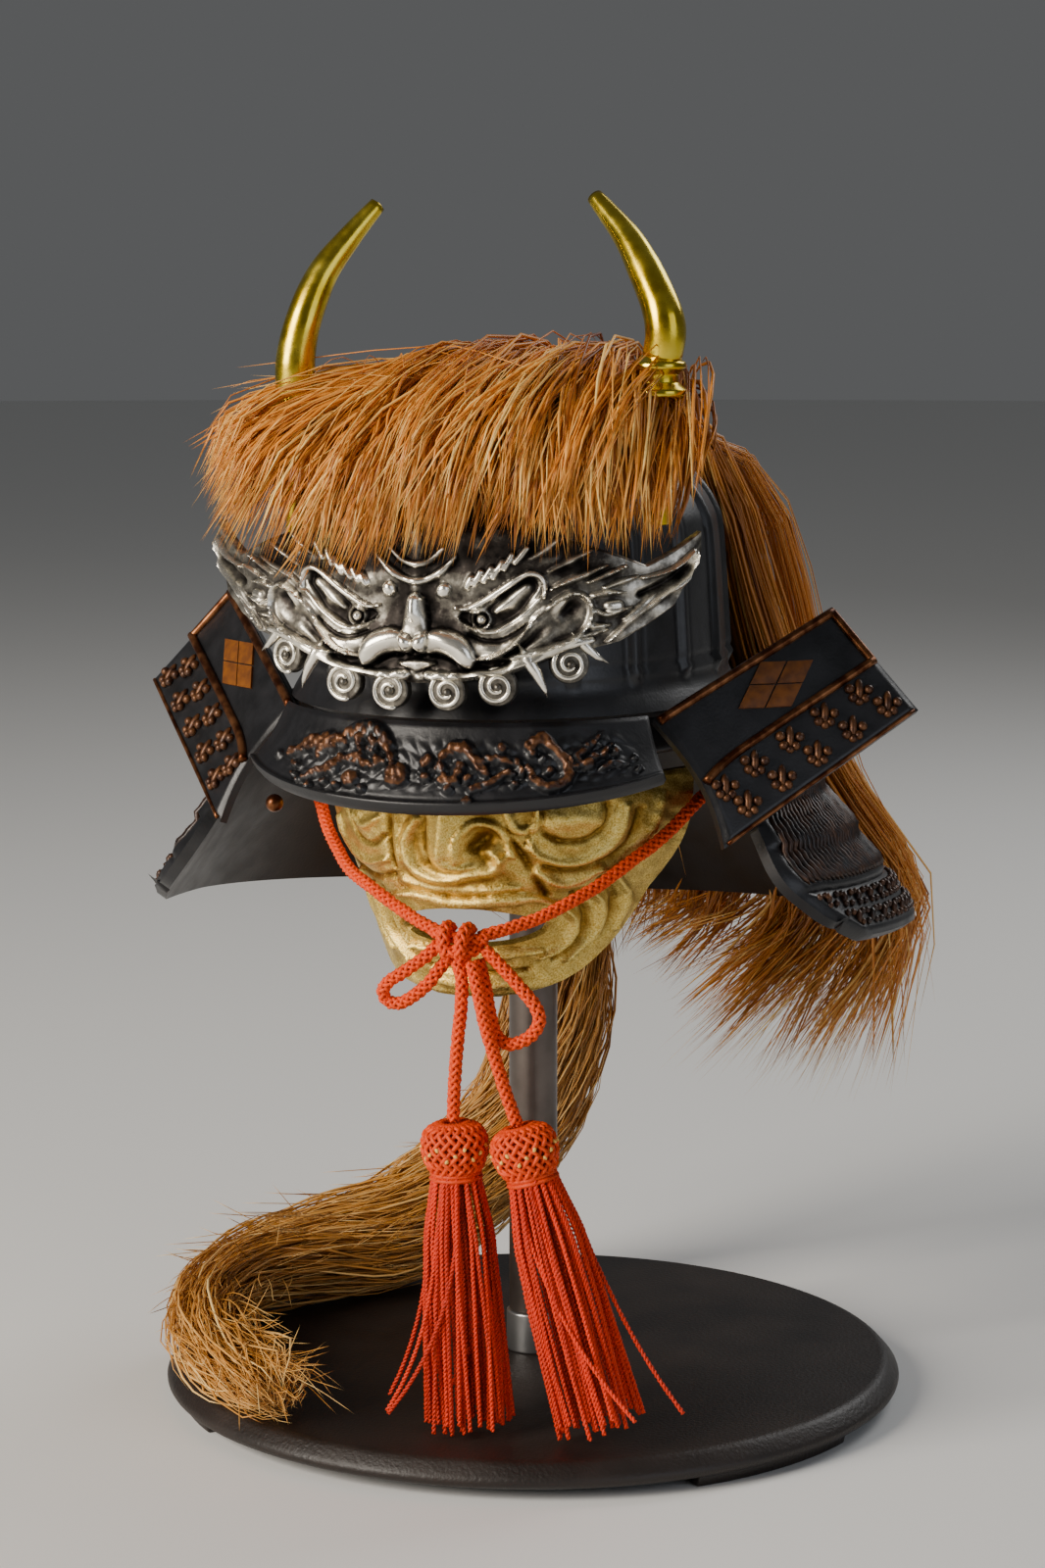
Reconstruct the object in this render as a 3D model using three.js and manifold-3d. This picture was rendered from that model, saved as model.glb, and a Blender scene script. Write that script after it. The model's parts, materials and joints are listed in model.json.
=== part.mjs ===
// A kabuto samurai helmet on a plain display stand: bowl, visor, neck guard, turned-back side
// plates, demon crest, horns, face mask, long hair, and a chin cord tied in a bow with tassels.
// Millimetres, +Z up. The helmet faces -Y, and +X is to the right of someone facing it.
// The origin is the centre of the stand's underside.

import * as THREE from 'three';
import { mergeVertices } from 'three/addons/utils/BufferGeometryUtils.js';
import Module from 'manifold-3d';

const wasm = await Module();
wasm.setup();

// Driving dimensions
const GAP = 0.35;            // clearance between pieces that meet
const MERGE = 0.03;          // how far joining faces that are all but flat may move a joined body
const STAND = { radius: 90, topRadius: 86.5, underRadius: 87, edge: 5, underside: 2.5, top: 9,
  boss: 15, footWidth: 32, footDepth: 24 };
const POST = { radius: 5.85, ferruleRadius: 6.5, ferruleTop: 19, restRadius: 11, restHeight: 4 };
const BOWL = { a: 49, b: 57.5, y: -12, foot: 163, waist: 173, wall: 2.6, crown: 237,
  flare: 1.06, collar: 0.965, ribs: 20, ribHeight: 0.9, ribHalfAngle: 1.7 };
const VISOR = { rimRadius: 56, rimY: -28, rimZ: 154, endRise: 5, halfAngle: 61, rootAngle: 54,
  wall: 2.2, bead: 1.2 };
const GUARD = { a: 52, b: 60, y: -10, top: 172, rimA: 89.5, rimFront: 109, rimRear: 73, rimY: 5,
  cornerZ: 121.3, rearZ: 111, fold: 57, corner: 70.8, wall: 3, lames: 5, step: 1.1 };
const PLATE = { a: [43.5, -44.8, 172.2], b: [75.2, -6.4, 194.9], c: [96.2, -8.1, 172.2],
  d: [61.6, -48.7, 144.3], wall: 2.4, bead: 0.9, divide: 0.51 };
const CREST = { halfWidth: 57.8, front: -80, sweep: 24, power: 2.6, wall: 2.4 };
const FACE = { wall: 2.2, fullness: 2.7 };
const MOUTH = { x: 2.6, z: 123.8, halfWidth: 17, halfHeight: 4.7 };
const CORD = { radius: 1.5, sides: 8 };      // sides of its section
const KNOT = { x: 5, y: -66, z: 124 };
const TASSEL = { headRadius: 7.3, headHeight: 11, strips: 8, skirtRadii: [5, 8, 8.9, 9.3, 9.4] };

const POST_TOP = BOWL.crown - BOWL.wall - 1 - GAP;

// Finishes
const finish = (colour, roughness, metalness) =>
  new THREE.MeshStandardMaterial({ color: colour, roughness, metalness });
const castIron = finish('#2a2220', 0.7, 0.5);
const steel = finish('#4a4442', 0.45, 0.9);
const lacquer = finish('#1b1b1f', 0.45, 0.3);
const copper = finish('#7a4a22', 0.4, 0.9);
const silver = finish('#b8b4a8', 0.4, 0.95);
const gold = finish('#d8b83a', 0.3, 0.95);
const paleGold = finish('#cdb870', 0.6, 0.7);
const hair = finish('#b8763a', 0.8, 0);
const silk = finish('#e0561a', 0.8, 0);

// Small helpers
const radians = degrees => degrees * Math.PI / 180;
const mix = (from, to, t) => from + (to - from) * t;
const clamp = t => Math.min(1, Math.max(0, t));
const ease = t => clamp(t) ** 2 * (3 - 2 * clamp(t));
const hump = (distance, width) => Math.exp(-((distance / width) ** 2));
const vector = ([x, y, z]) => new THREE.Vector3(x, y, z);
const mirrored = ([x, y, z]) => [-x, y, z];

// The value at t, from 0 to 1, in a table of evenly spaced values.
function along(table, t) {
  const place = clamp(t) * (table.length - 1);
  const row = Math.min(Math.floor(place), table.length - 2);
  return mix(table[row], table[row + 1], place - row);
}

// Shared points joined, and triangles that have shrunk to a line dropped.
function weld(geometry) {
  geometry.deleteAttribute('normal');
  geometry.deleteAttribute('uv');
  const joined = mergeVertices(geometry, 1e-4);
  const corners = joined.index.array;
  const kept = [];
  for (let i = 0; i < corners.length; i += 3) {
    const [a, b, c] = corners.slice(i, i + 3);
    if (a !== b && b !== c && c !== a) kept.push(a, b, c);
  }
  joined.setIndex(kept);
  joined.clearGroups();
  return joined;
}

// The same body with its faces pointing out.
function outward(geometry) {
  const corners = Array.from(geometry.index.array);
  const point = i => new THREE.Vector3().fromBufferAttribute(geometry.attributes.position, i);
  let volume = 0;
  for (let i = 0; i < corners.length; i += 3) {
    const [a, b, c] = [point(corners[i]), point(corners[i + 1]), point(corners[i + 2])];
    volume += a.dot(b.cross(c));
  }
  if (volume < 0) {
    for (let i = 0; i < corners.length; i += 3) {
      [corners[i], corners[i + 1]] = [corners[i + 1], corners[i]];
    }
    geometry.setIndex(corners);
  }
  return geometry;
}

function toSolid(geometry) {
  const body = outward(weld(geometry));
  return new wasm.Manifold(new wasm.Mesh({
    numProp: 3,
    vertProperties: Float32Array.from(body.attributes.position.array),
    triVerts: Uint32Array.from(body.index.array),
  }));
}

function toGeometry(body) {
  const mesh = body.simplify(MERGE).getMesh();
  const geometry = new THREE.BufferGeometry();
  geometry.setAttribute('position', new THREE.BufferAttribute(mesh.vertProperties, 3));
  geometry.setIndex(new THREE.BufferAttribute(mesh.triVerts, 1));
  return geometry;
}

// The largest piece of a body, without the slivers that a cut leaves loose.
const largest = body => body.decompose().sort((a, b) => b.volume() - a.volume())[0];

const fuse = geometries => geometries.map(toSolid).reduce((whole, next) => whole.add(next));
const cut = (body, cutters) => cutters.reduce((rest, cutter) => rest.subtract(toSolid(cutter)), body);

// A closed block of cells whose points are moved to place(u, v, w), each running from 0 to 1.
function bentBox(cellsU, cellsV, cellsW, place) {
  const box = weld(new THREE.BoxGeometry(1, 1, 1, cellsU, cellsV, cellsW));
  const points = box.attributes.position;
  for (let i = 0; i < points.count; i += 1) {
    const moved = place(points.getX(i) + 0.5, points.getY(i) + 0.5, points.getZ(i) + 0.5);
    points.setXYZ(i, moved.x, moved.y, moved.z);
  }
  return outward(box);
}

// The point that stands `height` off a surface, along its normal.
function standOff(surface, u, v, height) {
  const reach = 0.004;
  const across = surface(u + reach, v).sub(surface(u - reach, v));
  const down = surface(u, v + reach).sub(surface(u, v - reach));
  return surface(u, v).addScaledVector(across.cross(down).normalize(), height);
}

// A closed wall on a surface, from `wall` behind it to `relief(u, v)` in front of it.
// side is 1 where the surface's normal points to the front, and -1 where it points back.
function wallOn(surface, cellsU, cellsV, side, wall, relief = () => 0) {
  return bentBox(cellsU, cellsV, 1, (u, v, w) =>
    standOff(surface, u, v, side * (w < 0.5 ? -wall : relief(u, v))));
}

// A round bar through points, its radius read from a table along its length.
function taperedRod(points, radii, sides, steps) {
  const curve = new THREE.CatmullRomCurve3(points.map(vector));
  const frames = curve.computeFrenetFrames(steps, false);
  const rod = weld(new THREE.CylinderGeometry(1, 1, 1, sides, steps));
  const places = rod.attributes.position;
  for (let i = 0; i < places.count; i += 1) {
    const ring = Math.round((places.getY(i) + 0.5) * steps);
    const radius = along(radii, ring / steps);
    const moved = curve.getPointAt(ring / steps)
      .addScaledVector(frames.normals[ring], places.getX(i) * radius)
      .addScaledVector(frames.binormals[ring], places.getZ(i) * radius);
    places.setXYZ(i, moved.x, moved.y, moved.z);
  }
  return outward(rod);
}

// A tapered bundle of strips laid side by side round a curve: each strip is a ridge of its
// outside, and the ridges wind round it by `twist` turns.
function stripBundle(points, radii, strips, twist, steps, valley) {
  const curve = new THREE.CatmullRomCurve3(points.map(vector));
  const frames = curve.computeFrenetFrames(steps, false);
  const bundle = weld(new THREE.CylinderGeometry(1, 1, 1, 2 * strips, steps));
  const places = bundle.attributes.position;
  for (let i = 0; i < places.count; i += 1) {
    const share = Math.round((places.getY(i) + 0.5) * steps) / steps;
    const ring = Math.round(share * steps);
    const side = Math.round(Math.atan2(places.getZ(i), places.getX(i)) / Math.PI * strips);
    const out = Math.hypot(places.getX(i), places.getZ(i)) * along(radii, share) * (side % 2 ? valley : 1);
    const angle = side * Math.PI / strips + 2 * Math.PI * twist * share;
    const moved = curve.getPointAt(share)
      .addScaledVector(frames.normals[ring], out * Math.cos(angle))
      .addScaledVector(frames.binormals[ring], out * Math.sin(angle));
    places.setXYZ(i, moved.x, moved.y, moved.z);
  }
  return outward(bundle);
}

// A profile of [radius, height] rows turned about +Z.
function turned(profile, segments) {
  const lathe = new THREE.LatheGeometry(profile.map(([r, z]) => new THREE.Vector2(r, z)), segments);
  lathe.rotateX(Math.PI / 2);
  return outward(weld(lathe));
}

function ball([x, y, z], [rx, ry, rz], segments = 8, rings = 6) {
  const sphere = weld(new THREE.SphereGeometry(1, segments, rings));
  sphere.scale(rx, ry, rz);
  sphere.translate(x, y, z);
  return outward(sphere);
}

// ---- Stand ----

function standBase() {
  const plate = turned([[0, 0], [STAND.boss, 0], [STAND.boss, STAND.underside],
    [STAND.underRadius, STAND.underside], [STAND.radius, STAND.edge],
    [STAND.topRadius, STAND.top], [0, STAND.top]], 40);
  const half = radians(STAND.footWidth / 2);
  const feet = [-60, 60, 180].map(side => {
    const middle = radians(side - 90);
    const outline = new THREE.Shape();
    outline.absarc(0, 0, STAND.underRadius, middle - half, middle + half, false);
    outline.absarc(0, 0, STAND.underRadius - STAND.footDepth, middle + half, middle - half, true);
    return new THREE.ExtrudeGeometry(outline,
      { depth: STAND.underside + 0.5, bevelEnabled: false, curveSegments: 5 });
  });
  return toGeometry(fuse([plate, ...feet]));
}

function postFerrule() {
  return turned([[0, STAND.top], [POST.ferruleRadius, STAND.top],
    [POST.ferruleRadius, POST.ferruleTop], [0, POST.ferruleTop]], 16);
}

// The post and the plain round rest on its top, which carries the bowl.
function standPost() {
  return turned([[0, POST.ferruleTop], [POST.radius, POST.ferruleTop],
    [POST.radius, POST_TOP - POST.restHeight], [POST.restRadius, POST_TOP - 1.5],
    [POST.restRadius, POST_TOP], [0, POST_TOP]], 16);
}

// The plain bar, hidden under the visor, that holds the face mask to the post.
function maskBracket() {
  const start = -POST.radius - GAP;
  const end = faceFront(153) + FACE.wall + 1.2;
  const bar = new THREE.BoxGeometry(8, start - end, 3);
  bar.translate(0, (start + end) / 2, 153);
  return weld(bar);
}

// ---- Bowl ----

// A point on the bowl's outline at an angle from the front, grown by a share of its size.
const bowlPoint = (angle, share, z) => new THREE.Vector3(
  BOWL.a * share * Math.sin(radians(angle)), BOWL.y - BOWL.b * share * Math.cos(radians(angle)), z);

const BOWL_OUTSIDE = [   // share of the outline, height, 1 where the ribs run
  { share: BOWL.collar, z: BOWL.foot, rib: 0 },
  { share: BOWL.collar, z: BOWL.waist - 0.6, rib: 0 },
  { share: BOWL.flare, z: BOWL.waist, rib: 0 },
  { share: 1.0, z: BOWL.waist + 8, rib: 1 },
  { share: 0.955, z: 212, rib: 1 },
  { share: 0.86, z: 222, rib: 1 },
  { share: 0.64, z: 231, rib: 1 },
  { share: 0.34, z: BOWL.crown - 1.5, rib: 0 },
];
const BOWL_INSIDE = [   // share of the outline, height
  { share: BOWL.collar - 0.05, z: BOWL.foot - 1 },
  { share: BOWL.collar - 0.05, z: 203 },
  { share: 0.83, z: 218.5 },
  { share: 0.42, z: BOWL.crown - BOWL.wall - 1 },
];

// Rows of a bowl profile turned about the bowl's own axis, with the ribs standing on it.
function bowlTurned(rows, columns, ribHeight) {
  const body = turned(rows.map(row => [row.share, row.z]), columns);
  const points = body.attributes.position;
  for (let i = 0; i < points.count; i += 1) {
    const share = Math.hypot(points.getX(i), points.getY(i));
    const row = rows.find(r => Math.abs(r.share - share) < 1e-4
      && Math.abs(r.z - points.getZ(i)) < 1e-3) ?? { rib: 0 };
    const column = Math.round(Math.atan2(points.getX(i), -points.getY(i)) / (2 * Math.PI) * columns);
    const place = ((column % 3) + 3) % 3;
    const pitch = 360 / BOWL.ribs;
    const offset = [0, BOWL.ribHalfAngle, pitch - BOWL.ribHalfAngle][place];
    const angle = Math.floor(column / 3) * pitch + offset;
    const lift = row.rib && place === 0 ? ribHeight / BOWL.a : 0;
    const moved = bowlPoint(angle, share + lift, points.getZ(i));
    points.setXYZ(i, moved.x, moved.y, moved.z);
  }
  return outward(body);
}

// The bowl: its ribbed outside, hollowed by a plain inside.
function bowl() {
  const top = { share: 0, z: BOWL.crown, rib: 0 };
  const foot = { share: 0, z: BOWL.foot, rib: 0 };
  const outside = bowlTurned([foot, ...BOWL_OUTSIDE, top], 3 * BOWL.ribs, BOWL.ribHeight);
  const hollow = turned([[0, BOWL.foot - 1], ...BOWL_INSIDE.map(({ share, z }) => [share, z]),
    [0, BOWL_INSIDE.at(-1).z]], 20);
  hollow.scale(BOWL.a, BOWL.b, 1);
  hollow.translate(0, BOWL.y, 0);
  return toGeometry(cut(toSolid(outside), [hollow]));
}

// The space the bowl takes, filled in and grown a little, for cutting what sits round it.
function bowlSpace(segments) {
  const grow = 0.034;
  const rise = 0.5;
  const [, , flare, ...above] = BOWL_OUTSIDE;
  const body = turned([[0, BOWL.foot], [BOWL.collar + grow, BOWL.foot],
    [BOWL.collar + grow, flare.z - 1], [flare.share + grow, flare.z - 1], [flare.share + grow, flare.z + 1.6],
    ...above.map(({ share, z }) => [share + grow, z + rise]), [0, BOWL.crown + rise]], segments);
  body.scale(BOWL.a, BOWL.b, 1);
  body.translate(0, BOWL.y, 0);
  return body;
}

// ---- Visor ----

function visorSurface(u, v) {
  const root = bowlPoint(mix(-VISOR.rootAngle, VISOR.rootAngle, u), BOWL.flare, BOWL.waist - GAP);
  const turn = radians(mix(-VISOR.halfAngle, VISOR.halfAngle, u));
  const rim = new THREE.Vector3(VISOR.rimRadius * Math.sin(turn),
    VISOR.rimY - VISOR.rimRadius * Math.cos(turn),
    VISOR.rimZ + VISOR.endRise * (2 * u - 1) ** 2);
  return root.lerp(rim, v).add(new THREE.Vector3(0, 0, -1.6 * Math.sin(Math.PI * v)));
}

// The visor: a curved peak with a beaded rim and a band of raised cloud-like lumps.
function visor() {
  const rim = (u, v) => (v > 0.86 ? VISOR.bead : 0);
  const peak = wallOn(visorSurface, 14, 5, 1, VISOR.wall, rim);
  const lumps = [];
  const count = 10;
  for (let i = 0; i < count; i += 1) {
    const u = mix(0.08, 0.92, i / (count - 1));
    const v = 0.48 + 0.13 * Math.sin(i * 2.4);
    const { x, y, z } = standOff(visorSurface, u, v, 0.1);
    lumps.push(ball([x, y, z], [3.8 - 0.9 * (i % 2), 2.2, 2.4 + 0.8 * (i % 2)], 5, 3));
  }
  return toGeometry(fuse([peak, ...lumps]));
}

// The small bead that hangs under the visor's left corner.
function visorRivet() {
  return ball([-44.4, -55.5, 150.4], [2.1, 2.1, 1.9], 7, 5);
}

// ---- Neck guard ----

// The guard's outside: u runs round from the front left edge, v from its top ring to its rim.
function guardSurface(u, v) {
  const lower = clamp((v - 0.5) / 0.5);
  const rounding = 3.5 * clamp((v - 0.88) / 0.12) ** 2;
  const front = GUARD.fold + (GUARD.corner - GUARD.fold) * lower + rounding;
  return guardPoint(mix(-front, front - 360, u), v);
}

function guardPoint(angle, v) {
  const turn = radians(angle);
  const toRear = clamp((Math.abs(((angle % 360) + 540) % 360 - 180) - GUARD.corner)
    / (180 - GUARD.corner));
  const rimZ = mix(GUARD.cornerZ, GUARD.rearZ, toRear ** 0.7);
  const a = mix(GUARD.a, GUARD.rimA, v);
  const forward = Math.cos(turn) > 0;
  const b = mix(GUARD.b, forward ? GUARD.rimFront : GUARD.rimRear, v);
  return new THREE.Vector3(a * Math.sin(turn),
    mix(GUARD.y, GUARD.rimY, v) - b * Math.cos(turn), mix(GUARD.top - GAP, rimZ, v));
}

// The neck guard: overlapping lames in one flaring wall, each lame's lower edge proud.
function neckGuard() {
  const rows = 2 * GUARD.lames;
  const rowHeight = v => {
    const row = Math.round(v * rows);
    const lame = Math.floor(row / 2);
    return row % 2 ? (lame + 1) / GUARD.lames - 0.014 : lame / GUARD.lames;
  };
  const proud = v => (Math.round(v * rows) % 2 || v > 0.99 ? GUARD.step : 0);
  const stepped = bentBox(20, rows, 1, (u, v, w) => standOff(guardSurface, u, rowHeight(v),
    w < 0.5 ? GUARD.wall : -proud(v)));
  return toGeometry(cut(toSolid(stepped), [plateSpace(1), plateSpace(-1)]));
}

// ---- Turned-back side plates ----

// A plate's front: s runs from its inner fold to its outer end, t from its top to its bottom.
const plateSurface = side => (s, t) => {
  const place = corner => vector(side > 0 ? corner : mirrored(corner));
  const top = place(PLATE.a).lerp(place(PLATE.b), s);
  const bottom = place(PLATE.d).lerp(place(PLATE.c), s);
  const curl = 3.2 * (1 - clamp(s / 0.3)) ** 2 * Math.sin(Math.PI * clamp(t));
  return top.lerp(bottom, t).add(new THREE.Vector3(side * curl, curl * 0.2, 0));
};

// A small tile raised on a plate, between four corners given as [s, t].
function tile(side, corners, height) {
  const [a, b, c, d] = corners;
  return bentBox(1, 1, 1, (u, v, w) => {
    const s = mix(mix(a[0], b[0], u), mix(d[0], c[0], u), v);
    const t = mix(mix(a[1], b[1], u), mix(d[1], c[1], u), v);
    return standOff(plateSurface(side), s, t, side * (w < 0.5 ? 1 : -height));
  });
}

// Four diamonds that together make one larger diamond.
function diamonds(side) {
  const middle = { s: 0.6, t: 0.235 };
  const long = 0.1;      // half the length of each small diamond, in s
  const short = 0.092;   // half its height, in t
  const spread = 1.06;
  return [[-1, 0], [1, 0], [0, -1], [0, 1]].map(([i, j]) => {
    const s = middle.s + i * long * spread;
    const t = middle.t + j * short * spread;
    return tile(side, [[s - long, t], [s, t - short], [s + long, t], [s, t + short]], 0.8);
  });
}

// A plate with beads along its top, its outer end and its middle, the diamonds, and two rows
// of small flowers on the outer band.
function turnback(side) {
  const plate = wallOn(plateSurface(side), 5, 3, -side, PLATE.wall);
  const strip = (s0, t0, s1, t1) => tile(side, [[s0, t0], [s1, t0], [s1, t1], [s0, t1]], PLATE.bead);
  const beads = [strip(0.01, 0.01, 0.99, 0.055), strip(0.965, 0.02, 0.992, PLATE.divide),
    strip(0.01, PLATE.divide - 0.022, 0.99, PLATE.divide + 0.022)];
  const flowers = [];
  for (const t of [0.64, 0.85]) {
    for (let i = 0; i < 5; i += 1) {
      const { x, y, z } = standOff(plateSurface(side), 0.13 + 0.19 * i, t, 0);
      flowers.push(ball([x, y, z], [2.8, 2.2, 2.8], 4, 3));
    }
  }
  return toGeometry(cut(fuse([plate, ...beads, ...diamonds(side), ...flowers]), [bowlSpace(40)]));
}

// The space a plate takes, grown a little, for cutting the guard behind it.
function plateSpace(side) {
  return bentBox(6, 4, 1, (u, v, w) => standOff(plateSurface(side), mix(-0.12, 1, u),
    mix(-0.15, 1.012, v), side * (w < 0.5 ? PLATE.wall + GAP : -4)));
}

// ---- Demon crest ----

const CREST_EDGE = [   // across from the middle, lowest and highest point there
  { x: 0, low: 182.6, high: 217 }, { x: 10, low: 183.2, high: 217 },
  { x: 20, low: 184.8, high: 216.5 }, { x: 30, low: 188.6, high: 215.5 },
  { x: 38, low: 190.8, high: 213 }, { x: 43, low: 192.2, high: 210.5 },
  { x: 48, low: 195.4, high: 204.4 }, { x: 53, low: 199.5, high: 208.6 },
  { x: 57.8, low: 211.2, high: 213 },
];

function crestEdge(x, column) {
  const reach = Math.abs(x);
  const next = Math.max(1, CREST_EDGE.findIndex(row => row.x >= reach - 1e-6));
  const [from, to] = [CREST_EDGE[next - 1], CREST_EDGE[next]];
  return mix(from[column], to[column], (reach - from.x) / (to.x - from.x));
}

const crestPlan = x => CREST.front + CREST.sweep * Math.abs(x / CREST.halfWidth) ** CREST.power;

// How far the crest's face stands out of its plan curve: jaw band, cheeks, eyes and brows.
function crestRelief(x, z) {
  const reach = Math.abs(x);
  const jaw = 2.2 * hump(z - crestEdge(x, 'low') - 3, 3.2);
  const cheek = -2.4 * hump(reach - 36.5, 5.5) * hump(z - 198.5 - (reach - 36.5) * 0.9, 5);
  const lid = 1.6 * hump(z - 205 - (reach - 18) * 0.35, 2.2) * ease((reach - 5) / 6) * ease((34 - reach) / 6);
  const brow = 2.2 * hump(z - 211, 4) * ease((42 - reach) / 10);
  const muzzle = 2 * hump(reach, 10) * hump(z - 190, 8);
  return jaw + cheek + lid + brow + muzzle;
}

function crestMask() {
  const places = [...CREST_EDGE.slice(1).reverse().map(row => -row.x), ...CREST_EDGE.map(row => row.x)];
  const columns = 2 * (places.length - 1);
  const face = bentBox(columns, 6, 1, (u, v, w) => {
    const x = along(places, u);
    const z = mix(crestEdge(x, 'low'), crestEdge(x, 'high'), v);
    const out = w < 0.5 ? -CREST.wall : crestRelief(x, z) * ease((CREST.halfWidth - Math.abs(x)) / 12);
    return new THREE.Vector3(x, crestPlan(x) - out, z);
  });
  const pieces = [face, ball([0, -84.5, 198.5], [2.6, 4, 6.6], 6, 5),
    ball([0, -85.2, 192.6], [3.4, 3.6, 2.8], 6, 4)];
  for (const side of [-1, 1]) {
    pieces.push(ball([side * 6, -83.4, 190.9], [5.4, 3.2, 3.1], 7, 4));
    pieces.push(ball([side * 13.8, -80.8, 197.1], [2.2, 2, 2.2], 6, 4));
    pieces.push(ball([side * 6, -81.8, 203.4], [2, 1.9, 2], 5, 3));
    for (const [x, z, radius] of [[6.6, 180.4, 4.2], [17.8, 181.7, 4.2], [32.8, 187, 4.2]]) {
      pieces.push(crestScroll(side * x, z, radius));
    }
    pieces.push(taperedRod([[side * 26, crestPlan(26), 188], [side * 27.5, crestPlan(27), 184.5],
      [side * 28.4, crestPlan(28), 180.4]], [1.6, 1.2, 0.4], 4, 2));
  }
  return toGeometry(fuse(pieces));
}

// A hanging scroll: a flat disc with a raised round middle.
function crestScroll(x, z, radius) {
  const scroll = turned([[0, -1.6], [radius, -1.6], [radius - 0.4, 1.4], [1.8, 0.6], [0, 2.2]], 7);
  scroll.rotateX(Math.PI / 2);
  scroll.translate(x, crestPlan(x) - 0.2, z);
  return scroll;
}

// The plain pin that holds the crest off the bowl's front.
function crestPin() {
  const back = crestPlan(0) + CREST.wall + GAP;
  const front = BOWL.y - 0.98 * BOWL.b - BOWL.ribHeight - GAP;
  const pin = new THREE.CylinderGeometry(3, 3, front - back, 10);
  pin.translate(0, (front + back) / 2, 200);
  return weld(pin);
}

// ---- Horns ----

const HORN_RIGHT = { x: 44.5, foot: 214, top: 254, path: [[45, -45.5, 252], [46.2, -46, 258.5],
  [44.8, -45.5, 264.5], [39.5, -42, 273.6], [34.7, -39, 280], [26.1, -34.5, 288.5]] };
const HORN_LEFT = { x: -42.5, foot: 214, top: 244, path: [[-42.5, -45.5, 242], [-42, -46, 252],
  [-40.2, -45.3, 261], [-36.8, -42, 271.3], [-31.3, -38, 280], [-26.1, -34.5, 287]] };
const HORN_Y = -45.3;

// A horn: a stem with beads and two collars, and a curved tip with a blunt end.
function horn({ x, foot, top, path }) {
  const down = step => top - step;
  const stack = turned([[0, foot], [2.4, foot], [2.4, down(21)], [4.4, down(17)], [4.4, down(14)],
    [3.2, down(12)], [6.3, down(9.5)], [6.3, down(7.5)], [4.2, down(6)], [6, down(3.5)],
    [6, down(2)], [4, top], [0, top]], 8);
  stack.translate(x, HORN_Y, 0);
  const blade = taperedRod(path, [4.3, 4.5, 3.9, 3.4, 3.1, 2.5, 2.1], 7, 7);
  const inward = Math.sign(x);
  const foothold = taperedRod([[x, HORN_Y, foot + 5], [x - inward * 3, HORN_Y + 2, foot + 2],
    [x - inward * 10, HORN_Y + 6, foot + 1]], [2.2, 2.2, 2.2], 5, 2);
  return toGeometry(cut(fuse([stack, blade, foothold]), [bowlSpace(40)]));
}

// ---- Face mask ----

const FACE_ROWS = [   // height, half width, y of the front, y of the side edges, from top to chin
  { z: 158, half: 45.5, front: -60.5, edge: -18 },
  { z: 152, half: 45.3, front: -60.5, edge: -18 },
  { z: 147, half: 44.8, front: -60, edge: -18 },
  { z: 142, half: 43.3, front: -59.4, edge: -18 },
  { z: 137.5, half: 41, front: -58.6, edge: -18.6 },
  { z: 133.5, half: 38.4, front: -58, edge: -20 },
  { z: 129.5, half: 35.6, front: -57.2, edge: -22 },
  { z: 125.5, half: 33.6, front: -55.6, edge: -24 },
  { z: 121.5, half: 31.4, front: -53.6, edge: -26.4 },
  { z: 117.5, half: 28.8, front: -52, edge: -29.5 },
  { z: 114, half: 25.8, front: -50.9, edge: -33 },
  { z: 111, half: 22.4, front: -50, edge: -37.5 },
  { z: 108.6, half: 17, front: -49.2, edge: -43 },
  { z: 106.4, half: 8, front: -48.6, edge: -47 },
];
const FACE_STEP = 1 / (FACE_ROWS.length - 1);

function faceRow(v, column) {
  return along(FACE_ROWS.map(row => row[column]), v);
}

function faceSurface(u, v) {
  const turn = radians(mix(-90, 90, u));
  const rise = Math.max(0, v - 1) * (FACE_ROWS.at(-1).z - FACE_ROWS.at(-2).z) / FACE_STEP
    + Math.min(0, v) * (FACE_ROWS[1].z - FACE_ROWS[0].z) / FACE_STEP;
  const across = Math.sin(turn);
  return new THREE.Vector3(faceRow(v, 'half') * across,
    mix(faceRow(v, 'front'), faceRow(v, 'edge'), Math.abs(across) ** FACE.fullness), faceRow(v, 'z') + rise);
}

// The face's y at its middle, at a height.
function faceFront(z) {
  const next = Math.max(1, FACE_ROWS.findIndex(row => row.z <= z));
  const [above, below] = [FACE_ROWS[next - 1], FACE_ROWS[next]];
  return mix(above.front, below.front, (above.z - z) / (above.z - below.z));
}

// Nose, nostrils, cheeks, moustache and lower lip.
function faceRelief(u, v) {
  const { x, z } = faceSurface(u, v);
  const reach = Math.abs(x);
  const nose = 5.4 * hump(reach, 6) * hump(Math.max(0, z - 140), 30) * ease((z - 132) / 7);
  const wing = 3.2 * hump(reach - 10, 5) * hump(z - 138.5, 4.5);
  const cheek = 2.4 * hump(reach - 25, 9) * hump(z - 142, 9);
  const moustache = 2.6 * hump(z - 131 + (reach - 18) * 0.12, 3) * ease((32 - reach) / 8);
  const lip = 2 * hump(z - 116, 3) * ease((22 - reach) / 6);
  return nose + wing + cheek + moustache + lip;
}

function faceMask() {
  const shell = wallOn(faceSurface, 18, FACE_ROWS.length - 1, -1, FACE.wall, faceRelief);
  const outline = new THREE.Shape();
  outline.absellipse(MOUTH.x, MOUTH.z, MOUTH.halfWidth, MOUTH.halfHeight, 0, 2 * Math.PI);
  const mouth = new THREE.ExtrudeGeometry(outline, { depth: 60, bevelEnabled: false, curveSegments: 6 });
  mouth.rotateX(Math.PI / 2);
  mouth.translate(0, -25, 0);
  return toGeometry(cut(toSolid(shell), [mouth]));
}

// ---- Hair ----

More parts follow.
